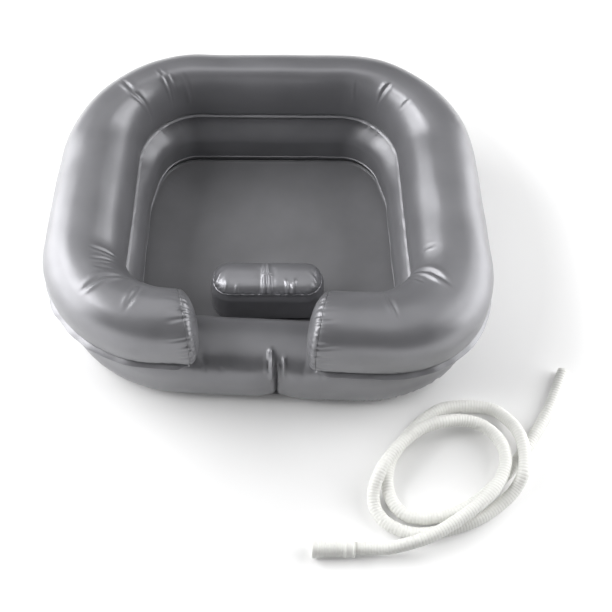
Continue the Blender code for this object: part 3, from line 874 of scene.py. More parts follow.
    def add_crease(self, crease: Crease) -> None:
        """Add one fold, which tapers to its two ends.

        Args:
            crease: the fold's line and sizes.
        """
        stops = []
        for share, angle in crease.stops:
            row = int(round(share * (len(self.run) - 1)))
            steps = np.arange(self.angle_deg.shape[1])
            column = int(round(np.interp(angle, self.angle_deg[row], steps)))
            stops.append(self.places[row, column, :2])
        plan = self.places[..., :2]
        best = np.full(plan.shape[:2], np.inf)
        side, share, past = (np.zeros(best.shape) for _ in range(3))
        chords = [np.linalg.norm(last - first) for first, last in zip(stops, stops[1:])]
        travelled = 0.0
        for first, last, chord in zip(stops, stops[1:], chords):
            way = (last - first) / chord
            along = (plan - first) @ way
            across = (plan - first) @ np.array((way[1], -way[0]))
            beyond = along - np.clip(along, 0, chord)
            distance = np.hypot(across, beyond)
            closer = distance < best
            best = np.where(closer, distance, best)
            side = np.where(closer, across, side)
            past = np.where(closer, beyond, past)
            share = np.where(closer, (travelled + np.clip(along, 0, chord)) / sum(chords), share)
            travelled += chord
        taper = np.sin(math.pi * np.clip(share, 0.02, 0.98)) ** 0.6
        offset = side / (crease.width * (0.55 + 0.45 * taper))
        low, high = crease.top_angles
        on_top = (self.angle_deg > low) & (self.angle_deg < high)
        fade = np.where(on_top, taper * bell(past / crease.width), 0)
        self.heights += crease.depth * fade * crease.section(offset)
        self.puckered = np.maximum(self.puckered, 0.6 * fade * bell(offset / WRINKLED_WIDTH))

    def flatten_for(self, seat: ValveSeat) -> None:
        """Press the film flat round a valve, with short pleats out from it.

        Args:
            seat: the valve's flat patch.
        """
        x = self.places[..., 0] - seat.x
        z = self.places[..., 2] - seat.z
        distance = np.hypot(x, z)
        facing = (self.normals[..., 1] > 0.5) & (distance < 2.5 * seat.blend_radius)
        facing &= np.abs(self.places[..., 1] - seat.y) < seat.reach_y
        share = smooth_step((seat.blend_radius - distance) / (seat.blend_radius - seat.flat_radius))
        share = np.where(facing, share, 0)
        self.heights *= 1 - share
        self.places[..., 1] += share * (seat.y - self.places[..., 1])
        ring = bell((distance - seat.blend_radius) / (0.5 * seat.flat_radius))
        turn = np.arctan2(z, x)
        pleats = np.cos(seat.pleats * turn + 2 * np.sin(3 * turn))
        self.heights += np.where(facing, seat.pleat_depth * ring * pleats, 0)

    def inner_line(self, height: float, smoothed: int = 9) -> Array:
        """Where a level meets the inner wall of a full ring, in plan.

        Args:
            height: the level, below the chamber's middle.
            smoothed: the number of stations that each point is the mean of, an odd one.

        Returns:
            Points, by station; the last is the first.
        """
        line = []
        for places, angle in zip(self.folded(), self.angle_deg):
            low = places[(angle > 180) & (angle < 270)]
            low = low[np.argsort(low[:, 2])]
            line.append([np.interp(height, low[:, 2], low[:, axis]) for axis in (0, 1)])
        line = np.array(line)
        more = smoothed // 2
        loop = np.concatenate((line[-1 - more:-1], line, line[1:1 + more]))
        weights = np.full(smoothed, 1 / smoothed)
        return np.stack([np.convolve(loop[:, axis], weights, "valid") for axis in (0, 1)], axis=1)

    def folded(self) -> Array:
        """The surface with its folds, none of them below the ground."""
        surface = self.places + self.normals * self.heights[..., None]
        surface[..., 2] = np.maximum(surface[..., 2], 0)
        return surface


@dataclass(frozen=True)
class PinchRidge:
    """A ridge beside the pinch: its place and height, and the section's angles that it spans."""

    x: float
    height: float
    width: float
    low_deg: float
    high_deg: float


@dataclass(frozen=True)
class Pinch:
    """The deep upright fold that gathers the front below the neck gap.

    Its sharp valley and the broad dip round it each end at a top angle of the section.
    """

    depth: float = 0.0090
    width: float = 0.0019
    top_deg: float = 52
    top_blend_deg: float = 50
    dip: float = 0.0050
    dip_width: float = 0.0200
    dip_top_deg: float = 75
    dip_blend_deg: float = 60
    foot_deg: float = -100
    foot_blend_deg: float = 30
    gathered_top_deg: float = 70
    gathered_blend_deg: float = 20
    ridges: tuple[PinchRidge, ...] = (
        PinchRidge(-0.0060, 0.0066, 0.0030, 12, 84),
        PinchRidge(0.0036, 0.0044, 0.0017, 6, 60),
        PinchRidge(0.0115, 0.0034, 0.0022, 20, 74),
        PinchRidge(-0.0130, 0.0018, 0.0020, 26, 70),
    )
    ridge_low_blend_deg: float = 12
    ridge_high_blend_deg: float = 14

    def gather(self, made: SkinForm, at_x: float) -> None:
        """Press the pinch into a chamber's front.

        Args:
            made: the chamber's surface.
            at_x: where the pinch stands.
        """
        x = made.places[..., 0] - at_x
        front = made.places[..., 1] < -LOWER_INNER.front
        up = np.where(made.angle_deg > 180, made.angle_deg - 360, made.angle_deg)
        under = smooth_step((up - self.foot_deg) / self.foot_blend_deg)
        narrow = np.exp(-((np.abs(x) / self.width) ** 1.2))
        relief = -self.depth * smooth_step((self.top_deg - up) / self.top_blend_deg) * under * narrow
        dip = self.dip * smooth_step((self.dip_top_deg - up) / self.dip_blend_deg) * under
        relief -= dip * bell(x / self.dip_width)
        for ridge in self.ridges:
            span = smooth_step((up - ridge.low_deg) / self.ridge_low_blend_deg)
            span *= smooth_step((ridge.high_deg - up) / self.ridge_high_blend_deg)
            relief += ridge.height * span * bell((x - ridge.x) / ridge.width)
        made.heights += np.where(front, relief, 0)
        gathered = under * smooth_step((self.gathered_top_deg - up) / self.gathered_blend_deg)
        gathered = np.where(front, gathered * bell(x / self.dip_width), 0)
        made.puckered = np.maximum(made.puckered, gathered)


@dataclass
class LowerChamber:
    """The full ring of the lower air chamber, with the pinch in its front."""

    middle_z: float = LAYER_Z / 2
    start_x: float = 0.0110
    spacing: float = 0.0029
    steps: int = 160
    round_squareness: float = 2.4
    welded_squareness: float = 4.6
    base_squareness: float = 3.2
    inner_squareness: float = 2.3
    bulge: float = 0.0115
    bulge_start_y: float = 0.0700
    bulge_blend: float = 0.06
    side_bulge_share: float = 0.33
    bulge_angles: tuple[float, float, float, float] = (136, 176, 226, 252)
    neck_left_x: float = -0.1100
    neck_right_x: float = 0.0710
    neck_blend: float = 0.0450
    wave_seed: int = 15
    pinch: Pinch = Pinch()
    valve: ValveSeat = ValveSeat(-0.0550, 0.244657, 0.0511)
    puckers: tuple[Puckers, ...] = (
        Puckers(Weld.OUTER_TOP, 0.0210, 0.0160, 0.0032, 0.0009, 11),
        Puckers(Weld.OUTER_LOW, 0.0150, 0.0260, 0.0034, 0.0022, 12,
                ((0, 0.1), (0.03, 0.2), (0.05, 1.0), (0.18, 1.2), (0.26, 0.7), (0.45, 0.5),
                 (0.55, 0.5), (0.72, 0.4), (0.84, 0.4), (0.95, 0.2), (1, 0.1))),
        Puckers(Weld.INNER_TOP, 0.0230, 0.0150, 0.0034, 0.0003, 13),
    )

    def form(self) -> SkinForm:
        """The chamber's folded surface.

        Returns:
            The grid of the surface and its folds.
        """
        crown, outer, inner = chamber_plans(
            LOWER_CROWN, LOWER_OUTER, LOWER_INNER, self.spacing, (self.start_x, self.start_x),
        )
        inside = np.minimum(crown[:, 0] - self.neck_left_x, self.neck_right_x - crown[:, 0])
        neck = smooth_step((inside + self.neck_blend / 2) / self.neck_blend)
        neck[crown[:, 1] > -LOWER_INNER.front] = 0
        top, wall = (
            square + (self.round_squareness - square) * neck
            for square in (self.welded_squareness, self.inner_squareness)
        )
        base = np.full(len(crown), self.base_squareness)
        squareness = np.stack((top, wall, base, base), axis=1)
        made = SkinForm(crown, outer, inner, squareness, self.middle_z, self.middle_z,
                        self.middle_z, self.steps, ring=True)
        at_back = smooth_step((inner[:, 1] - self.bulge_start_y) / self.bulge_blend)
        share = self.side_bulge_share + (1 - self.side_bulge_share) * at_back
        share *= (1 - neck) * smooth_step((crown[:, 1] + LOWER_INNER.front) / self.bulge_blend)
        first, full, last, gone = self.bulge_angles
        round_it = smooth_step((made.angle_deg - first) / (full - first))
        round_it *= smooth_step((gone - made.angle_deg) / (gone - last))
        made.heights += self.bulge * share[:, None] * round_it
        self.pinch.gather(made, self.start_x)
        made.add_waves(self.wave_seed)
        for row in self.puckers:
            made.add_puckers(row)
        made.flatten_for(self.valve)
        return made

    def build(self, finish: Material) -> SkinForm:
        """Make the chamber's skin.

        Args:
            finish: the film's material.

        Returns:
            The surface that the welds and the floor follow.
        """
        made = self.form()
        skin = grid_piece("lower_chamber_skin", made.folded(), made.puckered)
        dress(skin, finish, Slot.BASIN, "lower_tube")
        return made


@dataclass
class ArmPanel:
    """The domed panel that closes one arm of the upper chamber, puckered from its rim.

    It faces 1 where it bulges to the right, and -1 to the left.
    """

    name: str
    node: str
    facing: int
    seed: int
    rows: int = 34
    bulge: float = 0.0190
    inset_share: float = 0.999
    steps: Range = (0.0065, 0.0125)
    last_gap: float = 0.004
    lengths: Range = (0.010, 0.030)
    widths: Range = (0.0016, 0.0026)
    depths: Range = (0.0008, 0.0024)
    ridge: float = 0.45
    rim_turn: float = 0.12
    gathered_length: float = 0.03

    def build(self, rim: Array, finish: Material) -> None:
        """Make the panel.

        Args:
            rim: the arm's last section.
            finish: the film's material.
        """
        middle = rim[:-1].mean(axis=0)
        round_it = distance_along(rim)
        total = round_it[-1]
        reach = np.linalg.norm(rim - middle, axis=1)
        turn = np.linspace(0, math.pi / 2, self.rows)[:, None]
        out = np.array((self.facing, 0, 0))
        flat = middle + (rim - middle)[None] * np.cos(turn)[..., None] * self.inset_share
        dome = flat + out * (WELD_GAP + self.bulge * np.sin(turn))[..., None]
        away = (1 - np.cos(turn)) * reach[None] + self.bulge * np.sin(turn)
        heights = np.zeros(away.shape)
        for place, length, width, depth in scattered(
            random.Random(self.seed), 0.0, total - self.last_gap, 1, self.steps,
            self.lengths, self.widths, self.depths,
        ):
            offset = wrapped(round_it - place, total)[None] / (width * (0.7 + away / length))
            heights += depth * faded(away, length, 1.2) * pleat(offset, self.ridge)
        heights *= smooth_step(turn / self.rim_turn)
        inward = (middle - rim) / np.maximum(reach, 1e-9)[:, None]
        normal = out * np.sin(turn)[..., None] - inward[None] * np.cos(turn)[..., None]
        places = dome + normal * heights[..., None]
        back = np.broadcast_to(middle + out * WELD_GAP, places[:1].shape)
        puckered = faded(away, self.gathered_length, 1)
        marks = np.concatenate((puckered[:1], puckered))
        piece = grid_piece(self.name, np.concatenate((back, places)), marks)
        dress(piece, finish, Slot.BASIN, self.node)


@dataclass
class UpperChamber:
    """The upper air chamber, whose two arms end beside the neck gap."""

    middle_z: float = 0.1330
    rise: float = 0.0606
    inner_drop: float = 0.0120
    ends: Range = (0.0710, -0.1100)
    right_arm_widening: float = 0.0110
    right_arm_start_y: float = -0.09
    right_arm_blend: float = 0.05
    spacing: float = 0.0027
    steps: int = 160
    round_squareness: float = 2.1
    welded_squareness: float = 4.6
    shoulder: float = 1.12
    back_flatness: float = 0.15
    back_start_y: float = 0.10
    back_blend: float = 0.10
    end_scale: float = 0.975
    taper_length: float = 0.0140
    slant_share: float = 0.20
    slant_length: float = 0.0600
    wave_seed: int = 25
    valve: ValveSeat = ValveSeat(0.0550, 0.254757, 0.1440)
    puckers: tuple[Puckers, ...] = (
        Puckers(Weld.OUTER_LOW, 0.0210, 0.0150, 0.0032, 0.0009, 21),
        Puckers(Weld.INNER_LOW, 0.0230, 0.0130, 0.0032, 0.0002, 22),
    )
    end_puckers: EndPuckers = EndPuckers(0.0210, 0.0105, 0.0016, 26)
    creases: tuple[Crease, ...] = (
        Crease(((0.6644, 53.4), (0.6720, 106.0), (0.6797, 159.0)), 0.0019, 0.0028),
        Crease(((0.6269, 83.4), (0.6337, 150.5)), 0.0013, 0.0021, 1.2),
        Crease(((0.6190, 95.0), (0.6215, 138.0)), 0.0007, 0.0018, 1.0),
        Crease(((0.6048, 110.3), (0.5997, 161.5)), 0.0007, 0.0022),
        Crease(((0.3782, 101.0), (0.3714, 149.7)), 0.0016, 0.0024),
        Crease(((0.3441, 106.4), (0.3356, 134.9)), 0.0010, 0.0022),
        Crease(((0.4191, 122.0), (0.4106, 152.6)), 0.0006, 0.0022),
        Crease(((0.8688, 106.8), (0.8807, 141.2)), 0.0012, 0.0024),
        Crease(((0.8859, 102.7), (0.8927, 134.3)), 0.0012, 0.0022),
        Crease(((0.8978, 100.5), (0.9097, 123.1)), 0.0009, 0.0022),
        Crease(((0.9148, 65.8), (0.9148, 100.3), (0.9267, 129.9)), 0.0022, 0.0034, 1.2),
        Crease(((0.9540, 118.8), (0.9557, 76.1)), 0.0020, 0.0036, 0.6),
        Crease(((0.1380, 160.0), (0.1363, 122.8), (0.1295, 90.0)), 0.0022, 0.0034, 1.2),
        Crease(((0.1210, 150.2), (0.1158, 116.7)), 0.0009, 0.0022),
        Crease(((0.0630, 125.4), (0.0613, 87.5)), 0.0020, 0.0034, 0.6),
        Crease(((0.1806, 138.9), (0.1806, 121.3)), 0.0007, 0.0022),
    )

    def plans(self) -> tuple[Array, Array, Array]:
        """Plans of the crown and the two sides, with the ends of the arms slanted.

        Returns:
            Points of the crown, the outer side and the inner side.
        """
        crown, outer, inner = chamber_plans(
            UPPER_CROWN, UPPER_CROWN.grown(UPPER_REACH), UPPER_INNER, self.spacing, self.ends,
        )
        front = smooth_step((self.right_arm_start_y - inner[:, 1]) / self.right_arm_blend)
        inner[:, 1] += self.right_arm_widening * np.where(inner[:, 0] > 0, front, 0)
        travelled = distance_along(crown)
        side = np.where(travelled < travelled[-1] / 2, -1, 1)
        slanted = self.slant_share * (1 - smooth_step(self.from_end(crown) / self.slant_length))
        for plan in (crown, outer, inner):
            plan[:, 0] -= side * slanted * (plan[:, 1] + UPPER_CROWN.front)
        return crown, outer, inner

    @staticmethod
    def from_end(crown: Array) -> Array:
        """The distance from each station to the nearer end of the crown."""
        travelled = distance_along(crown)
        return np.minimum(travelled, travelled[-1] - travelled)

    def form(self) -> SkinForm:
        """The chamber's folded surface.

        Returns:
            The grid of the surface and its folds.
        """
        crown, outer, inner = self.plans()
        taper = np.clip(self.from_end(crown) / self.taper_length, 0, 1)
        scales = self.end_scale + (1 - self.end_scale) * np.sqrt(1 - (1 - taper) ** 2)
        at_back = smooth_step((crown[:, 1] - self.back_start_y) / self.back_blend)
        full = np.full(len(crown), self.round_squareness)
        flat = np.full(len(crown), self.welded_squareness)
        top = full * (1 + self.back_flatness * at_back)
        squareness = np.stack((full * self.shoulder, top, flat, flat), axis=1)
        made = SkinForm(crown, outer, inner, squareness, self.middle_z, self.rise,
                        self.middle_z - LAYER_Z - WELD_GAP, self.steps, ring=False,
                        end_scales=scales, inner_drop=self.inner_drop)
        made.add_waves(self.wave_seed)
        for row in self.puckers:
            made.add_puckers(row)
        made.add_end_puckers(self.end_puckers)
        for crease in self.creases:
            made.add_crease(crease)
        made.flatten_for(self.valve)
        return made

    def build(self, finish: Material) -> SkinForm:
        """Make the chamber's skin and the panels that close its arms.

        Args:
            finish: the film's material.

        Returns:
            The surface that the welds follow.
        """
        made = self.form()
        folded = made.folded()
        marks = np.concatenate((made.puckered[:1], made.puckered, made.puckered[-1:]))
        skin = grid_piece("upper_chamber_skin", capped(folded), marks)
        dress(skin, finish, Slot.BASIN, "upper_tube")
        ArmPanel("right_arm_panel", "end_panel_right", -1, 31).build(folded[0], finish)
        ArmPanel("left_arm_panel", "end_panel_left", 1, 32).build(folded[-1], finish)
        return made


# Welds, floor and pillow


@dataclass(frozen=True)
class MiddleWeld:
    """A weld between the two chambers.

    Its outer edge lies at a share of the way from the crown to the side; the reach is its width.
    """

    name: str
    share: float
    reach: float
    droop: float
    scallop: float


@dataclass(frozen=True)
class Ripple:
    """A sine along a weld, whose phase sways so that its waves aren't even."""

    height: float
    length: float
    sway: float
    sway_length: float

    def at(self, run: Array) -> Array:
        """Its height at distances along the weld."""
        phase = self.sway * np.sin(run / self.sway_length)
        return self.height * np.sin(run / self.length * math.tau + phase)


@dataclass
class WeldBands:
    """The thin welded edges of the film: between the chambers, round the floor and the base."""

    thickness: float = 0.0014
    wrinkled: float = 0.3
    outer_middle: MiddleWeld = MiddleWeld("outer_middle_weld", 1.045, 0.026, 0.0002, 0.0007)
    inner_middle: MiddleWeld = MiddleWeld("inner_middle_weld", 1.03, 0.016, 0.0, 0.0003)
    middle_wave_length: float = 0.022
    middle_wave_seed: int = 41
    end_set_back: float = 0.007
    floor_weld_z: float = 0.0225
    floor_weld_reach: float = 0.0016
    floor_weld_width: float = 0.006
    base_weld_z: float = 0.0052
    base_weld_share: float = 0.58
    base_weld_inset: float = 0.012
    base_weld_reach: float = 0.0045
    base_weld_droop: float = 0.0012
    base_weld_scallop: Ripple = Ripple(0.0014, 0.0155, 3, 0.11)
    base_weld_lift: Ripple = Ripple(0.0009, 0.0131, 2, 0.09)

    def band(
        self, name: str, line: Array, out: Array, inner: Union[float, Array],
        outer: Union[float, Array], rise: Union[float, Array], finish: Material, ring: bool,
    ) -> Piece:
        """Make one band along a line.

        Args:
            name: the band's name.
            line: points along the weld.
            out: flat directions away from the chamber.
            inner: how far the band's inner edge lies along them.
            outer: how far its outer edge lies.
            rise: how far its outer edge lies above the line.
            finish: the film's material.
            ring: True if the last point is the first.

        Returns:
            The band.
        """
        half = self.thickness / 2
        inner, outer = (np.broadcast_to(edge, len(line)) for edge in (inner, outer))
        columns = []
        for share, height in (
            (0, -half), (0.5, -half), (1, -half / 2), (1, half / 2), (0.5, half), (0, half), (0, -half),
        ):
            point = line + out * (inner + (outer - inner) * share)[:, None]
            point[:, 2] += rise * share + height
            columns.append(point)
        places = np.stack(columns, axis=1)
        if not ring:
            places = capped(places)
        piece = grid_piece(name, places, np.full(places.shape[:2], self.wrinkled))
        return dress(piece, finish, Slot.BASIN)

    @staticmethod
    def outward(form: SkinForm, side: Array) -> Array:
        """Flat unit directions from a chamber's crown to one of its sides, by station."""
        return unit(settled(at_height(side, 0.0)) - settled(at_height(form.crown, 0.0)))

    def build(self, upper: SkinForm, lower: SkinForm, finish: Material) -> None:
        """Make every band.

        Args:
            upper: the upper chamber's surface.
            lower: the lower chamber's surface.
            finish: the welds' material, whose lighter colour is partly a painted highlight.
        """
        wave = waves(upper.run, np.zeros(len(upper.run)), self.middle_wave_length, self.middle_wave_seed)
        set_back = self.end_set_back * (1 - end_fade(upper.run))
        for weld, side in ((self.outer_middle, upper.outer), (self.inner_middle, upper.inner)):
            edge = upper.crown + (side - upper.crown) * weld.share
            self.band(
                weld.name, settled(at_height(edge, LAYER_Z + WELD_GAP / 2)), self.outward(upper, side),
                -weld.reach, weld.scallop * wave - set_back, weld.scallop * wave - weld.droop,
                finish, False,
            )

        rim = lower.inner_line(self.floor_weld_z)
        inward = at_height(unit(rim.mean(axis=0) - rim), 0.0)
        self.band(
            "floor_weld", at_height(rim, self.floor_weld_z), inward,
            self.floor_weld_reach - self.floor_weld_width, self.floor_weld_reach, 0.0, finish, True,
        )

        edge = lower.crown + (lower.outer - lower.crown) * self.base_weld_share
        end = end_fade(lower.run)
        self.band(
            "base_weld", settled(at_height(edge, self.base_weld_z)), self.outward(lower, lower.outer),
            -self.base_weld_inset, self.base_weld_reach + self.base_weld_scallop.at(lower.run) * end,
            self.base_weld_lift.at(lower.run) * end - self.base_weld_droop, finish, True,
        )


# The middle of the drain, on the top of the floor
DRAIN_SEAT: Point = (-0.1400, -0.103343, 0.0100)


@dataclass
class FloorPanel:
    """The floor film of the bowl, drawn out to the lower chamber's inner wall.

    Its rows run from the rim, where they lie close, to the middle. A bead lies along its edge.
    """

    top_z: float = DRAIN_SEAT[2]
    thickness: float = 0.0005
    rim_gap: float = 0.0005
    edge_rows: int = 9
    edge_row_share: float = 0.0026
    edge_share: float = 0.026
    rows: int = 60
    sag: float = 0.0007
    sag_shares: Range = (0.55, 0.45)
    sag_edge: float = 0.12
    sag_seed: int = 51
    wave_length: float = 0.09
    fold_depth: float = 0.00025
    fold_fade: float = 0.10
    fold_density: float = 4
    fold_length: float = 0.05
    fold_seed: int = 52
    bead_height: float = 0.0030
    bead_inset: float = 0.0022
    bead_width: float = 0.0013
    hole_radius: float = 0.0096
    hole_depth: float = 0.004

    @staticmethod
    def kept(count: int) -> Array:
        """Every second station and the last, so that the points near the middle don't merge."""
        return np.unique(np.append(np.arange(0, count, 2), count - 1))

    def build(self, lower: SkinForm, finish: Material) -> None:
        """Make the floor.

        Args:
            lower: the lower chamber's surface.
            finish: the floor's material.
        """
        rim = lower.inner_line(self.top_z)
        middle = rim.mean(axis=0)
        rim = (rim - unit(rim - middle) * self.rim_gap)[self.kept(len(rim))]
        run = lower.run[self.kept(len(lower.run)), None]
        share = np.concatenate((
            np.arange(self.edge_rows) * self.edge_row_share, np.linspace(self.edge_share, 1, self.rows),
        ))[None]
        plan = rim[:, None] + (middle - rim[:, None]) * share[..., None]
        inside = np.linalg.norm(plan - rim[:, None], axis=2)
        least, more = self.sag_shares
        dip = least + more * waves(plan[..., 0], plan[..., 1], self.wave_length, self.sag_seed)
        dip *= self.sag * smooth_step(share / self.sag_edge)
        folds = waves(run * self.fold_density, share * self.fold_length, self.wave_length, self.fold_seed)
        folds *= np.exp(-share / self.fold_fade) * end_fade(run)
        height = self.top_z - np.maximum(dip, 0) - self.fold_depth * (1 + np.clip(folds, -1, 1))
        height += self.bead_height * bell((inside - self.bead_inset) / self.bead_width)
        top = at_height(plan, height)
        under = top.copy()
        under[..., 2] -= self.thickness
        both = np.concatenate((top[:, ::-1], under), axis=1)
        floor = grid_piece("floor_panel", both, np.zeros(both.shape[:2]))
        cut_round(floor, DRAIN_SEAT, Axis.Z, self.hole_radius, -self.hole_depth, self.hole_depth)
        dress(floor, finish, Slot.FLOOR, "floor_sheet")
        width, length = np.ptp(rim, axis=0)
        x, y = rim[:, 0], rim[:, 1]
        cut_area = abs(np.dot(x, np.roll(y, 1)) - np.dot(y, np.roll(x, 1))) / 2
        log.info("floor cut %.4f x %.4f m, %.4f square metres", width, length, cut_area)


@dataclass(frozen=True)
class Fold:
    """A fold over the pillow's top, from its front to a place behind: a valley if below 0."""

    x: float
    height: float
    width: float
    lean: float
    back_y: float


@dataclass
class Pillow:
    """The head pillow: an air-filled oblong with a welded rim round its puckered top.

    Its grid runs from the middle of its base over the foot and the wall to the weld, and from
    there over the crown. Shares of the wall's height are those of the weld above the base.
    """

    left_x: float = -0.0830
    right_x: float = 0.0800
    front_y: float = -0.1180
    depth: float = 0.0600
    height: float = 0.0800
    base_z: float = 0.0103
    corner_radius: float = 0.0270
    weld_share: float = 0.84
    weld_inset: float = 0.0040
    weld_thickness: float = 0.0008
    weld_width: float = 0.003
    weld_reach: float = 0.0012
    spacing: float = 0.0016
    foot_steps: int = 26
    foot_inset: float = 0.010
    foot_share: float = 0.16
    foot_power: float = 0.7
    wall_steps: int = 34
    first_wall_share: float = 0.03
    wall_bulge: float = 0.0012
    tuck_start: float = 0.72
    crown_steps: int = 44
    crown_power: float = 0.85
    crown_rise_power: float = 0.62
    wave_height: float = 0.0007
    wave_length: float = 0.05
    wave_seed: int = 61
    pleat_seed: int = 62
    pleat_ends: Range = (0.003, 0.004)
    pleat_steps: Range = (0.0075, 0.0150)
    lengths_up: Range = (0.006, 0.015)
    lengths_down: Range = (0.003, 0.009)
    pleat_widths: Range = (0.0016, 0.0026)
    pleat_depths: Range = (0.0003, 0.0012)
    pleat_leans: Range = (-0.3, 0.3)
    pleat_ridge: float = 0.45
    pleat_span: float = 0.02
    fold_start: float = 0.004
    fold_fade: float = 0.010
    folds: tuple[Fold, ...] = (
        Fold(-0.0048, 0.0024, 0.0024, 0.02, 0.024), Fold(0.0018, 0.0028, 0.0026, -0.08, 0.026),
        Fold(-0.0016, -0.0010, 0.0018, 0, 0.022), Fold(0.0080, -0.0012, 0.0040, 0, 0.018),
        Fold(-0.0110, -0.0010, 0.0040, 0, 0.018), Fold(0.0262, 0.0020, 0.0020, -0.10, -0.004),
        Fold(0.0330, 0.0014, 0.0018, -0.10, -0.008), Fold(0.0415, 0.0024, 0.0021, 0.20, -0.004),
        Fold(-0.0420, 0.0012, 0.0022, 0.1, -0.010), Fold(-0.0560, 0.0014, 0.0024, 0.2, -0.006),
        Fold(-0.0680, 0.0014, 0.0026, 0.5, 0.010), Fold(0.0640, 0.0012, 0.0026, -0.5, 0.006),
    )
    valve: ValveSeat = ValveSeat(0.0250, -0.063343, 0.0415, 0.0120, 0.0190)

    def __post_init__(self) -> None:
        """Work out the sizes that follow from the others, and the outline."""
        self.half_width = (self.right_x - self.left_x) / 2
        self.half_depth = self.depth / 2
        self.weld_height = self.height * self.weld_share
        middle_y = self.front_y + self.half_depth + CENTRING_Y
        self.middle = np.array(((self.left_x + self.right_x) / 2, middle_y))
        hoop = Hoop(
            self.half_width, self.half_depth, self.half_depth, self.corner_radius, self.corner_radius,
        )
        self.outline = hoop.places(hoop.marks(self.spacing, (0, 0)), (0, 0))
        self.run = distance_along(self.outline)
        along = np.gradient(self.outline, axis=0)
        along[0] = along[-1] = self.outline[1] - self.outline[-2]
        self.facing = unit(np.stack((along[:, 1], -along[:, 0]), axis=1))

    def wall(self) -> tuple[Array, Array]:
        """The foot and the wall, by step.

        Returns:
            How far each step lies inside the outline, and its share of the wall's height.
        """
        turn = np.linspace(0, 1, self.foot_steps) * math.pi / 2
        share = np.linspace(self.first_wall_share, 1, self.wall_steps)
        tuck = self.weld_inset * smooth_step((share - self.tuck_start) / (1 - self.tuck_start))
        insets = np.concatenate((
            self.foot_inset * (1 - np.sin(turn) ** self.foot_power),
            tuck - self.wall_bulge * np.sin(math.pi * share),
        ))
        levels = np.concatenate((
            self.foot_share * (1 - np.cos(turn)), self.foot_share + (1 - self.foot_share) * share,
        ))
        return insets, levels

    def smooth_form(self) -> tuple[Array, Array]:
        """The pillow without its folds.

        Returns:
            Points by step round the outline and level, and how far the waves raise each.
        """
        waviness = waves(self.run, np.zeros(len(self.run)), self.wave_length, self.wave_seed)
        waviness = waviness - (waviness[-1] - waviness[0]) * self.run / self.run[-1]
        rows = [at_height(self.outline * 0 + self.middle, self.base_z)]
        heights = [np.zeros(len(self.run))]
        for inset, level in zip(*self.wall()):
            plan = self.outline - self.facing * inset
            rows.append(at_height(plan + self.middle, self.base_z + self.weld_height * level))
            heights.append(self.wave_height * waviness * level)
        for step in range(1, self.crown_steps + 1):
            scale = math.sin((1 - step / self.crown_steps) * math.pi / 2) ** self.crown_power
            plan = (self.outline - self.facing * self.weld_inset) * scale
            rows.append(at_height(plan + self.middle, self.crown_heights(plan)))
            heights.append(np.zeros(len(self.run)))
        return np.stack(rows, axis=1), np.stack(heights, axis=1)

    def crown_heights(self, plan: Array) -> Array:
        """Heights of the crowned top.

        Args:
            plan: points over the top, from its middle.

        Returns:
            Heights in space.
        """
        radius = self.corner_radius - self.weld_inset
        x = np.abs(plan[:, 0]) - (self.half_width - self.weld_inset - radius)
        y = np.abs(plan[:, 1]) - (self.half_depth - self.weld_inset - radius)
        outside = np.hypot(np.maximum(x, 0), np.maximum(y, 0)) + np.minimum(np.maximum(x, y), 0)
        from_rim = np.clip((radius - outside) / (self.half_depth - self.weld_inset), 0, 1)
        rise = (1 - (1 - from_rim) ** 3) ** self.crown_rise_power
        return self.base_z + self.weld_height + (self.height - self.weld_height) * rise

    def outward(self, places: Array) -> Array:
        """Directions out of the smooth form.

        Args:
            places: its points.

        Returns:
            Unit directions, down in the middle of the base and up in the middle of the crown.
        """
        spread = np.gradient(places, axis=0)
        spread[0] = spread[-1] = places[1] - places[-2]
        out = unit(np.cross(spread, np.gradient(places, axis=1)))
        mid_wall = self.foot_steps + self.wall_steps // 2
        out *= np.sign((out[:, mid_wall] * at_height(self.facing, 0.0)).sum())
        out[:, 0] = (0, 0, -1)
        out[:, -1] = (0, 0, 1)
        return out

    def folded(self) -> tuple[Array, Array]:
        """The pillow with pleats on both sides of its weld and gathers over its top.

        Returns:
            Its points, and how puckered each is.
        """
        places, raised = self.smooth_form()
        travelled = distance_along(places, axis=1)
        at_weld = self.foot_steps + self.wall_steps
        away = travelled - travelled[:, at_weld:at_weld + 1]
        total = self.run[-1]
        marks = np.zeros(raised.shape)
        first, last_gap = self.pleat_ends
        for place, up, down, width, depth, lean in scattered(
            random.Random(self.pleat_seed), first, total - last_gap, 1, self.pleat_steps,
            self.lengths_up, self.lengths_down, self.pleat_widths, self.pleat_depths, self.pleat_leans,
        ):
            gap = wrapped(self.run - place, total)
            rows = np.nonzero(np.abs(gap) < self.pleat_span)[0]
            length = np.where(away[rows] > 0, up, down)
            near = np.abs(away[rows])
            fade = faded(near, length, 1.3)
            offset = (gap[rows][:, None] - lean * near) / (width * (0.6 + near / length))
            raised[rows] += depth * fade * pleat(offset, self.pleat_ridge)
            marks[rows] = np.maximum(marks[rows], fade * bell(offset / WRINKLED_WIDTH))
        x, y = (places[..., axis] - self.middle[axis] for axis in (0, 1))
        top = smooth_step((places[..., 2] - self.base_z - self.weld_height) / self.fold_start)
        for fold in self.folds:
            relief = top * smooth_step((fold.back_y - y) / self.fold_fade)
            relief *= bell((x - fold.x - fold.lean * y) / fold.width)
            raised += fold.height * relief
            marks = np.maximum(marks, relief)
        raised[:, -1] = raised[:, -1].mean()
        seat = self.valve
        distance = np.hypot(places[..., 0] - seat.x, places[..., 2] - seat.z)
        flat = smooth_step((seat.blend_radius - distance) / (seat.blend_radius - seat.flat_radius))
        flat = np.where(y > 0, flat, 0)
        surface = places + self.outward(places) * (raised * (1 - flat))[..., None]
        surface[..., 1] += flat * (seat.y - surface[..., 1])
        return surface, marks

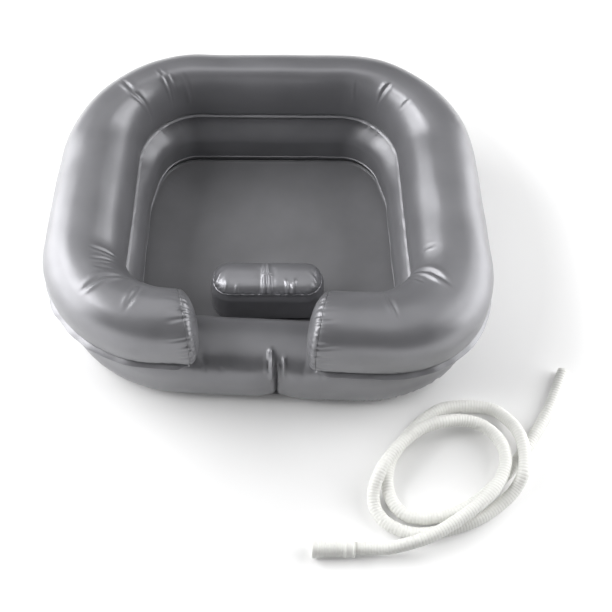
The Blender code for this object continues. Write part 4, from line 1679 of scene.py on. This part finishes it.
    def build(self, finish: Material) -> None:
        """Make the pillow and its weld.

        Args:
            finish: the pillow's material.
        """
        piece = grid_piece("head_pillow", *self.folded())
        dress(piece, finish, Slot.PILLOW, "pillow")
        rim = self.outline - self.facing * self.weld_inset + self.middle
        total = self.run[-1]
        scallop = Ripple(0.0003, total / 34, 0, total)
        lift = Ripple(0.0004, total / 27, 2, total / (4 * math.tau))
        band = WeldBands(thickness=self.weld_thickness).band(
            "pillow_weld", at_height(rim, self.base_z + self.weld_height), at_height(self.facing, 0.0),
            -self.weld_width, self.weld_reach + scallop.at(self.run), lift.at(self.run), finish, True,
        )


# Valves, drain and hose


@dataclass
class InflationValve:
    """An inflation valve: a welded flange, a stem that pushes in, a check flap and a plug."""

    prefix: str
    seat: ValveSeat
    well_radius: float = 0.0085
    well_depth: float = 0.0320
    well_rise: float = 0.004
    flange_radius: float = 0.0112
    flange_thickness: float = 0.0014
    stem_radius: float = 0.0060
    stem_wall: float = 0.0018
    stem_inside: float = 0.0130
    stem_outside: float = 0.0080
    lip_radius: float = 0.0068
    lip_height: float = 0.0012
    clearance: float = 0.0003
    flap_thickness: float = 0.0008
    cork_length: float = 0.0085
    cork_tip: float = 0.0006
    head_radius: float = 0.0068
    head_thickness: float = 0.0022
    knob_radius: float = 0.0030
    knob_height: float = 0.0022

    def build(self, skin: Piece, finishes: "Finishes") -> None:
        """Cut the well into a skin and make the valve in it.

        Args:
            skin: the film that the valve is welded to.
            finishes: the part's materials.
        """
        seat = (self.seat.x, self.seat.y, self.seat.z)
        cut_round(skin, seat, Axis.Y, self.well_radius, -self.well_depth, self.well_rise)
        shade_smooth(skin, FILM_SHARP_PAST_DEG)
        inner = self.stem_radius + self.clearance
        low = WELD_GAP
        high = WELD_GAP + self.flange_thickness
        middle = (inner + self.flange_radius) / 2
        flange = turned(
            f"{self.prefix}_flange",
            [(inner, low), (self.flange_radius, low), (self.flange_radius, high * 0.6),
             (middle, high * 0.8), (middle - 0.0008, high), (inner, high)],
            seat, Axis.Y, True, 0.0003,
        )
        dress(flange, finishes.valve, Slot.VALVE, f"{self.prefix}_valve_flange")

        bore = self.stem_radius - self.stem_wall
        top = self.stem_outside
        stem = turned(
            f"{self.prefix}_stem_tube",
            [(bore, -self.stem_inside), (self.stem_radius, -self.stem_inside),
             (self.stem_radius, top - self.lip_height), (self.lip_radius, top - self.lip_height),
             (self.lip_radius, top), (bore, top)],
            seat, Axis.Y, True, 0.00025,
        )
        dress(stem, finishes.valve, Slot.VALVE, f"{self.prefix}_valve_stem",
              body=Body(f"{self.prefix}_stem"))

        high = -self.clearance
        low = high - self.flap_thickness
        flap = turned(
            f"{self.prefix}_check_flap",
            [(0, low), (self.stem_radius, low), (self.stem_radius, high), (bore, high),
             (bore * 0.8, high), (0, high)],
            (self.seat.x, self.seat.y - self.stem_inside, self.seat.z), Axis.Y, False, 0.0002,
        )
        dress(flap, finishes.film, Slot.FILM, f"{self.prefix}_valve_flap",
              body=Body(f"{self.prefix}_flap"))

        cork = bore - self.clearance
        rest = top + self.clearance
        tip = top - self.cork_length
        head = rest + self.head_thickness
        knob = head + self.knob_height
        plug = turned(
            f"{self.prefix}_plug_cap",
            [(0, tip), (cork - self.cork_tip, tip), (cork, tip + self.cork_tip), (cork, rest),
             (self.head_radius, rest), (self.head_radius, head - 0.0004),
             (self.head_radius - 0.0008, head), (self.knob_radius, head),
             (self.knob_radius, knob), (0, knob)],
            seat, Axis.Y, False, 0.0003,
        )
        dress(plug, finishes.plug, Slot.PLUG, f"{self.prefix}_valve_plug",
              body=Body(f"{self.prefix}_plug"))


@dataclass
class Drain:
    """The drain in the floor: a flanged outlet with a spigot below, and a stopper that lifts out."""

    bore_radius: float = 0.0070
    flange_radius: float = 0.0180
    flange_thickness: float = 0.0020
    spigot_radius: float = 0.0093
    foot_z: float = 0.0008
    lead: float = 0.0008
    clearance: float = 0.0003
    head_radius: float = 0.0120
    head_thickness: float = 0.0024
    cork_length: float = 0.0062
    neck_radius: float = 0.0035
    neck_height: float = 0.0022
    knob_radius: float = 0.0055
    knob_height: float = 0.0030

    def build(self, finishes: "Finishes") -> None:
        """Make the outlet and its stopper.

        Args:
            finishes: the part's materials.
        """
        foot = self.foot_z - DRAIN_SEAT[2]
        low = WELD_GAP
        high = WELD_GAP + self.flange_thickness
        outlet = turned(
            "drain_flange",
            [(self.bore_radius, foot), (self.spigot_radius - self.lead, foot),
             (self.spigot_radius, foot + self.lead), (self.spigot_radius, low), (self.flange_radius, low),
             (self.flange_radius, low + 0.0008), (self.flange_radius - 0.0030, high - 0.0004),
             (self.head_radius + 0.0006, high), (self.bore_radius, high)],
            DRAIN_SEAT, Axis.Z, True, 0.0003,
        )
        dress(outlet, finishes.fitting, Slot.DRAIN, "drain_outlet")

        cork = self.bore_radius - self.clearance
        rest = high + self.clearance
        tip = rest - self.cork_length
        head = rest + self.head_thickness
        neck = head + self.neck_height
        knob = neck + self.knob_height
        stopper = turned(
            "drain_plug",
            [(0, tip), (cork - self.lead, tip), (cork, tip + self.lead), (cork, rest),
             (self.head_radius, rest), (self.head_radius, head - self.lead),
             (self.head_radius - self.lead, head), (self.neck_radius, head),
             (self.neck_radius, neck), (self.knob_radius, neck),
             (self.knob_radius, knob - self.lead), (self.knob_radius - self.lead, knob), (0, knob)],
            DRAIN_SEAT, Axis.Z, False, 0.0003,
        )
        dress(stopper, finishes.fitting, Slot.DRAIN, "drain_stopper", body=Body.STOPPER)


@dataclass
class HoseCuff:
    """The drain hose's cuff: a lipped mouth, a finely ribbed grip and two rings."""

    mouth: Point = (0.0600, -0.4770, 0.0130)
    length: float = 0.0580
    lip_radius: float = 0.0128
    lip_length: float = 0.0035
    body_radius: float = 0.0113
    rib_radius: float = 0.0120
    ribs: int = 12
    ring_radius: float = 0.0127
    ring_length: float = 0.0034
    ring_spacing: float = 0.0110
    bore_radius: float = 0.0096
    bore_length: float = 0.0380
    hose_bore: float = 0.0066

    def build(self, finish: Material) -> Piece:
        """Make the cuff.

        Args:
            finish: the hose's material.

        Returns:
            The cuff.
        """
        first_ring = self.length - self.ring_spacing - self.ring_length
        outside = [(self.lip_radius - 0.0010, 0), (self.lip_radius, 0.0006), (self.lip_radius, 0.0022),
                   (self.body_radius + 0.0004, self.lip_length + 0.0012)]
        start = self.lip_length + 0.0030
        pitch = (first_ring - start - 0.0006) / self.ribs
        for rib in range(self.ribs):
            at = start + pitch * rib
            outside += [(self.body_radius, at), (self.rib_radius, at + pitch * 0.35),
                        (self.rib_radius, at + pitch * 0.65)]
        for at in (first_ring, first_ring + self.ring_spacing):
            outside += [(self.rib_radius - 0.0002, at), (self.ring_radius, at + 0.0008),
                        (self.ring_radius, at + self.ring_length - 0.0008)]
            after = min(at + self.ring_length, self.length)
            outside.append((self.rib_radius - 0.0003, after))
        inside = [(self.hose_bore, self.length), (self.hose_bore, self.bore_length),
                  (self.bore_radius, self.bore_length - 0.0010), (self.bore_radius, 0.0008),
                  (self.bore_radius + 0.0006, 0)]
        cuff = turned("cuff_sleeve", outside + inside, self.mouth, Axis.X, True, 0.0002, 96)
        return dress(cuff, finish, Slot.HOSE, "hose_cuff")


@dataclass
class DrainHose:
    """The ribbed drain hose, which lies in loose crossing loops."""

    radius: float = 0.0090
    valley: float = 0.0085
    bore: float = 0.0066
    pitch: float = 0.0042
    sides: int = 24
    bore_spacing: float = 0.0120
    plain_length: float = 0.0012
    low: float = 0.0092
    over: float = 0.0284
    # How deep the bore counts as a groove: the hose's material darkens it as painted shade
    bore_shade: float = 0.6
    rib_shape: tuple[tuple[float, float], ...] = (
        (0, 0), (0.14, 0.55), (0.32, 0.97), (0.5, 1), (0.68, 0.97), (0.86, 0.55),
    )

    def route(self) -> Array:
        """The points that the hose's line goes through."""
        low, over = self.low, self.over
        return np.array((
            (0.1183, -0.4770, 0.0130), (0.1383, -0.4770, 0.0130), (0.1635, -0.4780, 0.0175),
            (0.1900, -0.4745, 0.0255), (0.2225, -0.4635, over), (0.2965, -0.4125, over),
            (0.3195, -0.3835, over), (0.3295, -0.3525, 0.0275), (0.3245, -0.3240, 0.0230),
            (0.3045, -0.2990, 0.0180), (0.2760, -0.2910, 0.0210), (0.2455, -0.2960, 0.0278),
            (0.2185, -0.3055, over), (0.1940, -0.3225, over), (0.1720, -0.3460, over),
            (0.1545, -0.3730, 0.0270), (0.1455, -0.3980, 0.0170), (0.1485, -0.4210, 0.0100),
            (0.1650, -0.4415, low), (0.1960, -0.4545, low), (0.2380, -0.4510, low),
            (0.2830, -0.4365, low), (0.3150, -0.4165, low), (0.3410, -0.3930, 0.0150),
            (0.3525, -0.3720, 0.0268), (0.3560, -0.3440, over), (0.3525, -0.3165, 0.0268),
            (0.3390, -0.2865, 0.0150), (0.3170, -0.2675, low), (0.2560, -0.2655, low),
            (0.2230, -0.2835, low), (0.1730, -0.3455, low), (0.1655, -0.3815, low),
            (0.1740, -0.4135, low), (0.1960, -0.4315, low), (0.2630, -0.4225, low),
            (0.3340, -0.3655, low), (0.3870, -0.2925, low), (0.4070, -0.2575, low),
            (0.4290, -0.2065, low),
        ))

    def line(self, per_span: int = 40) -> Array:
        """A smooth line through the route.

        Args:
            per_span: chords between two of its points.

        Returns:
            Points along the line.
        """
        points = self.route()
        padded = np.vstack((2 * points[0] - points[1], points, 2 * points[-1] - points[-2]))
        share = (np.arange(per_span) / per_span)[:, None]
        found = []
        for before, start, end, after in zip(padded, padded[1:], padded[2:], padded[3:]):
            first = math.sqrt(np.linalg.norm(start - before))
            span = math.sqrt(np.linalg.norm(end - start))
            last = math.sqrt(np.linalg.norm(after - end))
            leave = (start - before) / first - (end - before) / (first + span) + (end - start) / span
            arrive = (end - start) / span - (after - start) / (span + last) + (after - end) / last
            found.append(
                start * (2 * share ** 3 - 3 * share ** 2 + 1)
                + leave * span * (share ** 3 - 2 * share ** 2 + share)
                + end * (3 * share ** 2 - 2 * share ** 3) + arrive * span * (share ** 3 - share ** 2)
            )
        return np.vstack(found + [points[-1:]])

    def rings(self, line: Array, distances: Array, radii: Array) -> Array:
        """Circles round the line.

        Args:
            line: the hose's line.
            distances: how far along it each circle lies.
            radii: each circle's radius.

        Returns:
            Points by circle and side.
        """
        travelled = distance_along(line)
        ahead = np.gradient(line, travelled, axis=0)
        point, way = (
            np.stack([np.interp(distances, travelled, column) for column in values.T], axis=1)
            for values in (line, ahead)
        )
        way = unit(way)
        beside = unit(np.cross(way, (0, 0, 1)))
        above = np.cross(beside, way)
        turn = np.linspace(0, math.tau, self.sides + 1)
        circle = beside[:, None] * np.cos(turn)[:, None] + above[:, None] * np.sin(turn)[:, None]
        circle[:, -1] = circle[:, 0]
        return point[:, None] + circle * radii[:, None, None]

    def build(self, cuff: Piece, finish: Material) -> None:
        """Args:
            cuff: not used.
            finish: the hose's material.
        """
        line = self.line()
        length = float(distance_along(line)[-1])
        ribs = round((length - 2 * self.plain_length) / self.pitch)
        pitch = (length - 2 * self.plain_length) / ribs
        distances, radii, marks = [0.0], [self.valley], [0.0]
        # A rib's valley is marked 1 and its crest 0, and the hose's material darkens the marked valleys
        # as painted shade
        for rib in range(ribs):
            for share, height in self.rib_shape:
                distances.append(self.plain_length + pitch * (rib + share))
                radii.append(self.valley + (self.radius - self.valley) * height)
                marks.append(1 - height)
        distances += [length - self.plain_length, length]
        radii += [self.valley, self.valley]
        marks += [1.0, 0.0]
        outside = self.rings(line, np.array(distances), np.array(radii))
        back = np.linspace(length, 0, round(length / self.bore_spacing))
        inside = self.rings(line, back, np.full(len(back), self.bore))
        places = np.concatenate((outside, inside, outside[:1]))
        shade = np.concatenate((marks, np.full(len(back), self.bore_shade), marks[:1]))
        hose = grid_piece("ribbed_hose", places, np.repeat(shade[:, None], self.sides + 1, axis=1))
        shade_smooth(hose, FILM_SHARP_PAST_DEG)
        dress(hose, finish, Slot.HOSE, "drain_hose")


# Finishes


class ShaderTree:
    """A material's node tree, filled in node by node."""

    def __init__(self, name: str) -> None:
        """Start a material.

        Args:
            name: the material's name.
        """
        self.made = bpy.data.materials.new(name)
        self.made.use_nodes = True
        self.tree = self.made.node_tree
        self.shader = self.tree.nodes["Principled BSDF"]

    @staticmethod
    def fill(node: Node, **inputs: object) -> Node:
        """Set a node's inputs by name, with underscores for spaces."""
        for name, value in inputs.items():
            node.inputs[name.replace("_", " ")].default_value = value
        return node

    def add(self, kind: str, **inputs: object) -> Node:
        """Add a node and set its inputs."""
        return self.fill(self.tree.nodes.new(kind), **inputs)

    def link(self, source: Socket, target: Socket) -> None:
        """Join two sockets."""
        self.tree.links.new(source, target)

    def noise(self, scale: float, detail: float, roughness: float = 0.5) -> Socket:
        """Noise over the piece's own space.

        Args:
            scale: how many waves it has in a metre.
            detail: how many finer layers it has.
            roughness: how strong these are.

        Returns:
            The noise, about 0.5 in the middle.
        """
        place = self.add("ShaderNodeTexCoord")
        node = self.add("ShaderNodeTexNoise", Scale=scale, Detail=detail, Roughness=roughness)
        self.link(place.outputs["Object"], node.inputs["Vector"])
        return node.outputs["Fac"]

    def spread(
        self, source: Socket, low: float, high: float,
        from_low: float = 0.3, from_high: float = 0.7,
    ) -> Socket:
        """Map a number to a range.

        Args:
            source: the number.
            low: the range's low end.
            high: its high end.
            from_low: the number that gives the low end.
            from_high: the number that gives the high end.

        Returns:
            The mapped number.
        """
        node = self.add("ShaderNodeMapRange")
        for index, value in enumerate((from_low, from_high, low, high)):
            node.inputs[index + 1].default_value = value
        self.link(source, node.inputs[0])
        return node.outputs[0]

    def math(
        self, operation: str, first: Socket, second: Socket,
        clamped: bool = False,
    ) -> Socket:
        """Work out a number from two others.

        Args:
            operation: what to do with them.
            first: the first number.
            second: the second number.
            clamped: True to keep the result from 0 to 1.

        Returns:
            The result.
        """
        node = self.add("ShaderNodeMath")
        node.operation = operation
        node.use_clamp = clamped
        self.link(first, node.inputs[0])
        self.link(second, node.inputs[1])
        return node.outputs[0]

    def puckered(self) -> Socket:
        """The number that the piece's points carry."""
        node = self.add("ShaderNodeAttribute")
        node.attribute_name = MARK
        return node.outputs["Fac"]

    def mixed(
        self, factor: Socket, *colors: Union[Color, Socket],
    ) -> Socket:
        """Mix two colours.

        Args:
            factor: the second colour's share.
            colors: the two colours, each given or worked out by a node.

        Returns:
            The mixed colour.
        """
        node = self.add("ShaderNodeMix")
        node.data_type = "RGBA"
        self.link(factor, node.inputs[0])
        slots = [socket for socket in node.inputs if socket.type == "RGBA"]
        for slot, color in zip(slots, colors):
            if isinstance(color, tuple):
                slot.default_value = (*color, 1)
            else:
                self.link(color, slot)
        return next(socket for socket in node.outputs if socket.type == "RGBA")

    def clouded(self, color: Color, scale: float, darker: float, lighter: float) -> Socket:
        """A colour with faint clouds in it, from a darker to a lighter share of it."""
        share = self.spread(self.noise(scale, 3), 0, 1)
        return self.mixed(share, scaled_color(color, darker), scaled_color(color, lighter))

    def bump(
        self, height: Socket, distance: float, strength: float,
        under: Optional[Node] = None,
    ) -> Node:
        """Add a bump over another.

        Args:
            height: the relief.
            distance: its depth in metres.
            strength: its share.
            under: the bump that it lies on.

        Returns:
            The bump node.
        """
        node = self.add("ShaderNodeBump", Distance=distance, Strength=strength)
        self.link(height, node.inputs["Height"])
        if under:
            self.link(under.outputs["Normal"], node.inputs["Normal"])
        self.link(node.outputs["Normal"], self.shader.inputs["Normal"])
        return node


def scaled_color(color: Color, share: float) -> Color:
    """A lighter or darker shade of a colour."""
    return tuple(min(value * share, 1.0) for value in color)


@dataclass(frozen=True)
class VinylFilm:
    """Satin vinyl film with a pearl pigment, finely wrinkled where it is gathered."""

    name: str
    color: Color
    metallic: float = 0.42
    roughness: float = 0.38
    specular: float = 0.5
    coat: float = 0.35
    coat_roughness: float = 0.34
    shades: Range = (0.93, 1.07)
    haze: Range = (-0.035, 0.045)
    haze_density: float = 3.1
    cloud_scale: float = 16.0
    grain_scale: float = 2600.0
    grain_depth: float = 0.00006
    grain_strength: float = 0.35
    wrinkle_scale: float = 240.0
    wrinkle_depth: float = 0.0005
    wrinkle_strength: float = 0.6

    def material(self) -> Material:
        """The film as a material.

        Returns:
            The material.
        """
        tree = ShaderTree(self.name)
        shader = tree.fill(
            tree.shader, Metallic=self.metallic, Specular_IOR_Level=self.specular,
            Coat_Weight=self.coat, Coat_Roughness=self.coat_roughness,
        )
        tree.link(tree.clouded(self.color, self.cloud_scale, *self.shades), shader.inputs["Base Color"])
        haze = tree.noise(self.cloud_scale * self.haze_density, 4, 0.6)
        limits = (self.roughness + change for change in self.haze)
        tree.link(tree.spread(haze, *limits), shader.inputs["Roughness"])
        grain = tree.bump(tree.noise(self.grain_scale, 2), self.grain_depth, self.grain_strength)
        wrinkles = tree.math("MULTIPLY", tree.noise(self.wrinkle_scale, 2, 0.45), tree.puckered())
        tree.bump(wrinkles, self.wrinkle_depth, self.wrinkle_strength, grain)
        return tree.made


@dataclass(frozen=True)
class MouldedPlastic:
    """Soft moulded plastic with a faint satin surface, with painted shade that makes it a little darker
    and yellower in its grooves.
    """

    name: str
    color: Color
    roughness: float = 0.42
    # Painted shade: the colour that the grooves are darkened towards, and the most of it that they take
    groove_shade: Color = (0.62, 0.62, 0.57)
    groove_shade_share: float = 0.22
    cloud_scale: float = 30.0
    shades: Range = (0.96, 1.03)
    haze: Range = (-0.04, 0.05)
    haze_density: float = 4
    grain_scale: float = 1400.0
    grain_depth: float = 0.00005
    grain_strength: float = 0.4

    def material(self) -> Material:
        """The plastic as a material.

        Returns:
            The material.
        """
        tree = ShaderTree(self.name)
        shader = tree.shader
        plain = tree.clouded(self.color, self.cloud_scale, *self.shades)
        # Painted shade, darker where the mark says that a groove is deep
        shade_in_grooves = tree.spread(tree.puckered(), 0, self.groove_shade_share, 0, 1)
        tree.link(tree.mixed(shade_in_grooves, plain, self.groove_shade), shader.inputs["Base Color"])
        haze = tree.noise(self.cloud_scale * self.haze_density, 3)
        limits = (self.roughness + change for change in self.haze)
        tree.link(tree.spread(haze, *limits), shader.inputs["Roughness"])
        tree.bump(tree.noise(self.grain_scale, 2), self.grain_depth, self.grain_strength)
        return tree.made


class Finishes:
    """Every material of the part."""

    def __init__(self) -> None:
        """Make the materials."""
        self.skin = VinylFilm("pearl_grey_film", (0.235, 0.235, 0.25)).material()
        self.floor = VinylFilm(
            "floor_film", (0.20, 0.20, 0.21), metallic=0.2, roughness=0.5, coat=0.1,
        ).material()
        # The welds' film is painted lighter than the chambers': partly the paler welded film, partly a
        # painted highlight for the thin light line along each weld, against the shade in the crevices
        # round it
        self.weld = VinylFilm("weld_film", (0.33, 0.33, 0.35), metallic=0.25).material()
        self.pillow = VinylFilm(
            "pillow_film", (0.30, 0.30, 0.32), metallic=0.55, roughness=0.36, wrinkle_depth=0.0002,
        ).material()
        self.valve = self.smooth("valve_vinyl", (0.62, 0.63, 0.64), 0.34)
        self.film = self.smooth("check_flap_vinyl", (0.70, 0.71, 0.72), 0.28)
        self.plug = self.smooth("plug_vinyl", (0.66, 0.67, 0.68), 0.36)
        self.fitting = self.smooth("drain_plastic", (0.82, 0.82, 0.80), 0.33)
        # The hose's plastic has painted shade in its rib valleys and its bore
        self.hose = MouldedPlastic("hose_plastic", (0.84, 0.84, 0.81), 0.45).material()

    @staticmethod
    def smooth(name: str, color: Color, roughness: float) -> Material:
        """Plastic without the painted shade in grooves."""
        return MouldedPlastic(name, color, roughness, groove_shade_share=0).material()


# Studio


@dataclass(frozen=True)
class SoftBox:
    """A soft oblong light, with its power in watts."""

    name: str
    place: Point
    width: float
    height: float
    power: float

    def build(self, aim: Point) -> None:
        """Add the light.

        Args:
            aim: the point that it faces.
        """
        deselect()
        bpy.ops.object.light_add(type="AREA", location=self.place)
        light = bpy.context.object
        light.name = self.name
        light.data.shape = "RECTANGLE"
        light.data.size = self.width
        light.data.size_y = self.height
        light.data.energy = self.power
        back = unit(np.array(self.place) - np.array(aim))
        across = unit(np.cross((0, 0, 1) if abs(back[2]) < 0.99 else (0, 1, 0), back))
        light.matrix_world = stood(self.place, across, np.cross(back, across), back)


def stood(place: Point, right: Array, above: Array, back: Array) -> Matrix:
    """The matrix of a camera or light, from its place and its three axes."""
    turn = Matrix(np.stack((right, above, back), axis=1).tolist())
    return Matrix.Translation(place) @ turn.to_4x4()


@dataclass
class Studio:
    """The pale floor, the soft lights and the camera."""

    focal_px: float = 1300.7
    frame_px: float = 612.0
    sensor_mm: float = 36.0
    tilt_deg: float = 59.53
    yaw_deg: float = -2.525
    roll_deg: float = 2.384
    place: Point = (0.0123, -1.0796, 1.6792)
    floor_half: float = 14.0
    middle: Point = (0, 0.02, 0.10)
    clip: Range = (0.05, 60)
    floor_color: Color = (0.86, 0.86, 0.86)
    floor_roughness: float = 0.9
    floor_specular: float = 0.1
    glow: Range = (0.03, 0.70)
    glow_from: Range = (0.42, 0.85)
    surround_light: float = 0.03
    surround_seen: float = 1.0
    softboxes: tuple[SoftBox, ...] = (
        SoftBox("left_low_softbox", (-1.35, 0.10, 0.45), 1.8, 0.8, 21),
        SoftBox("left_high_softbox", (-1.40, 0.20, 1.50), 1.8, 0.8, 32),
        SoftBox("right_low_softbox", (1.35, 0.10, 0.45), 1.8, 0.8, 18),
        SoftBox("right_high_softbox", (1.40, 0.20, 1.50), 1.8, 0.8, 13),
        SoftBox("top_softbox", (0, 0.30, 2.60), 2.0, 2.8, 14),
    )

    def camera(self) -> None:
        """Set the camera at the photograph's viewing angle."""
        tilt, yaw, roll = (math.radians(angle) for angle in (self.tilt_deg, self.yaw_deg, self.roll_deg))
        back = np.array((
            math.sin(yaw) * math.cos(tilt), -math.cos(yaw) * math.cos(tilt), math.sin(tilt),
        ))
        right = np.array((math.cos(yaw), math.sin(yaw), 0))
        above = np.cross(back, right)
        turned_right = right * math.cos(roll) + above * math.sin(roll)
        turned_up = -right * math.sin(roll) + above * math.cos(roll)
        deselect()
        bpy.ops.object.camera_add()
        camera = bpy.context.object
        camera.name = "photo_camera"
        camera.data.sensor_width = self.sensor_mm
        camera.data.lens = self.focal_px / self.frame_px * self.sensor_mm
        camera.data.clip_start, camera.data.clip_end = self.clip
        camera.matrix_world = stood(self.place, turned_right, turned_up, back)
        bpy.context.scene.camera = camera

    def floor(self) -> None:
        """Lay the floor, which shows as white and keeps the object's shadow."""
        deselect()
        bpy.ops.mesh.primitive_plane_add(size=2 * self.floor_half)
        ground = bpy.context.object
        ground.name = "studio_floor"
        tree = ShaderTree("studio_white")
        shader = tree.fill(
            tree.shader, Base_Color=(*self.floor_color, 1), Roughness=self.floor_roughness,
            Specular_IOR_Level=self.floor_specular, Emission_Color=(1, 1, 1, 1),
        )
        rays = tree.add("ShaderNodeLightPath").outputs
        seen = tree.math("ADD", rays["Is Camera Ray"], rays["Is Glossy Ray"])
        seen = tree.math("ADD", seen, rays["Is Transmission Ray"], clamped=True)
        away = tree.add("ShaderNodeVectorMath")
        away.operation = "LENGTH"
        tree.link(tree.add("ShaderNodeTexCoord").outputs["Object"], away.inputs[0])
        share = tree.spread(away.outputs["Value"], *self.glow, *self.glow_from)
        tree.link(tree.math("MULTIPLY", seen, share), shader.inputs["Emission Strength"])
        ground.data.materials.append(tree.made)
        ground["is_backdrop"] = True

    def world(self) -> None:
        """Light the scene with a plain white surround."""
        world = bpy.data.worlds.new("studio_world")
        bpy.context.scene.world = world
        world.use_nodes = True
        nodes = world.node_tree.nodes
        background = nodes["Background"]
        background.inputs["Color"].default_value = (1, 1, 1, 1)
        rays = nodes.new("ShaderNodeLightPath")
        strength = nodes.new("ShaderNodeMix")
        strength.data_type = "FLOAT"
        strength.inputs[2].default_value = self.surround_light
        strength.inputs[3].default_value = self.surround_seen
        world.node_tree.links.new(rays.outputs["Is Camera Ray"], strength.inputs[0])
        world.node_tree.links.new(strength.outputs[0], background.inputs["Strength"])

    def build(self) -> None:
        """Set up the floor, the surround and the lights."""
        self.floor()
        self.world()
        for softbox in self.softboxes:
            softbox.build(self.middle)
        bpy.context.scene.view_settings.view_transform = "Standard"


def as_lists(box: Sequence[Sequence[float]]) -> list[list[float]]:
    """A box's two corners as plain lists."""
    return [[float(value) for value in corner] for corner in box]


def main() -> None:
    """Build every sub-assembly in order."""
    logging.basicConfig(level=logging.INFO, format="%(name)s: %(message)s")
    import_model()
    model_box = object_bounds()
    studio = Studio()
    studio.camera()
    finishes = Finishes()
    cuff = HoseCuff().build(finishes.hose)
    DrainHose().build(cuff, finishes.hose)
    lower = LowerChamber()
    lower_form = lower.build(finishes.skin)
    upper = UpperChamber()
    upper_form = upper.build(finishes.skin)
    WeldBands().build(upper_form, lower_form, finishes.weld)
    FloorPanel().build(lower_form, finishes.floor)
    pillow = Pillow()
    pillow.build(finishes.pillow)
    for prefix, seat, skin in (
        ("upper", upper.valve, "upper_chamber_skin"),
        ("lower", lower.valve, "lower_chamber_skin"),
        ("pillow", pillow.valve, "head_pillow"),
    ):
        InflationValve(prefix, seat).build(bpy.data.objects[skin], finishes)
    Drain().build(finishes)
    studio.build()
    boxes = {"model": as_lists(model_box), "visual": as_lists(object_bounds())}
    log.info("model box %s, visual box %s", boxes["model"], boxes["visual"])


if __name__ == "__main__":
    main()
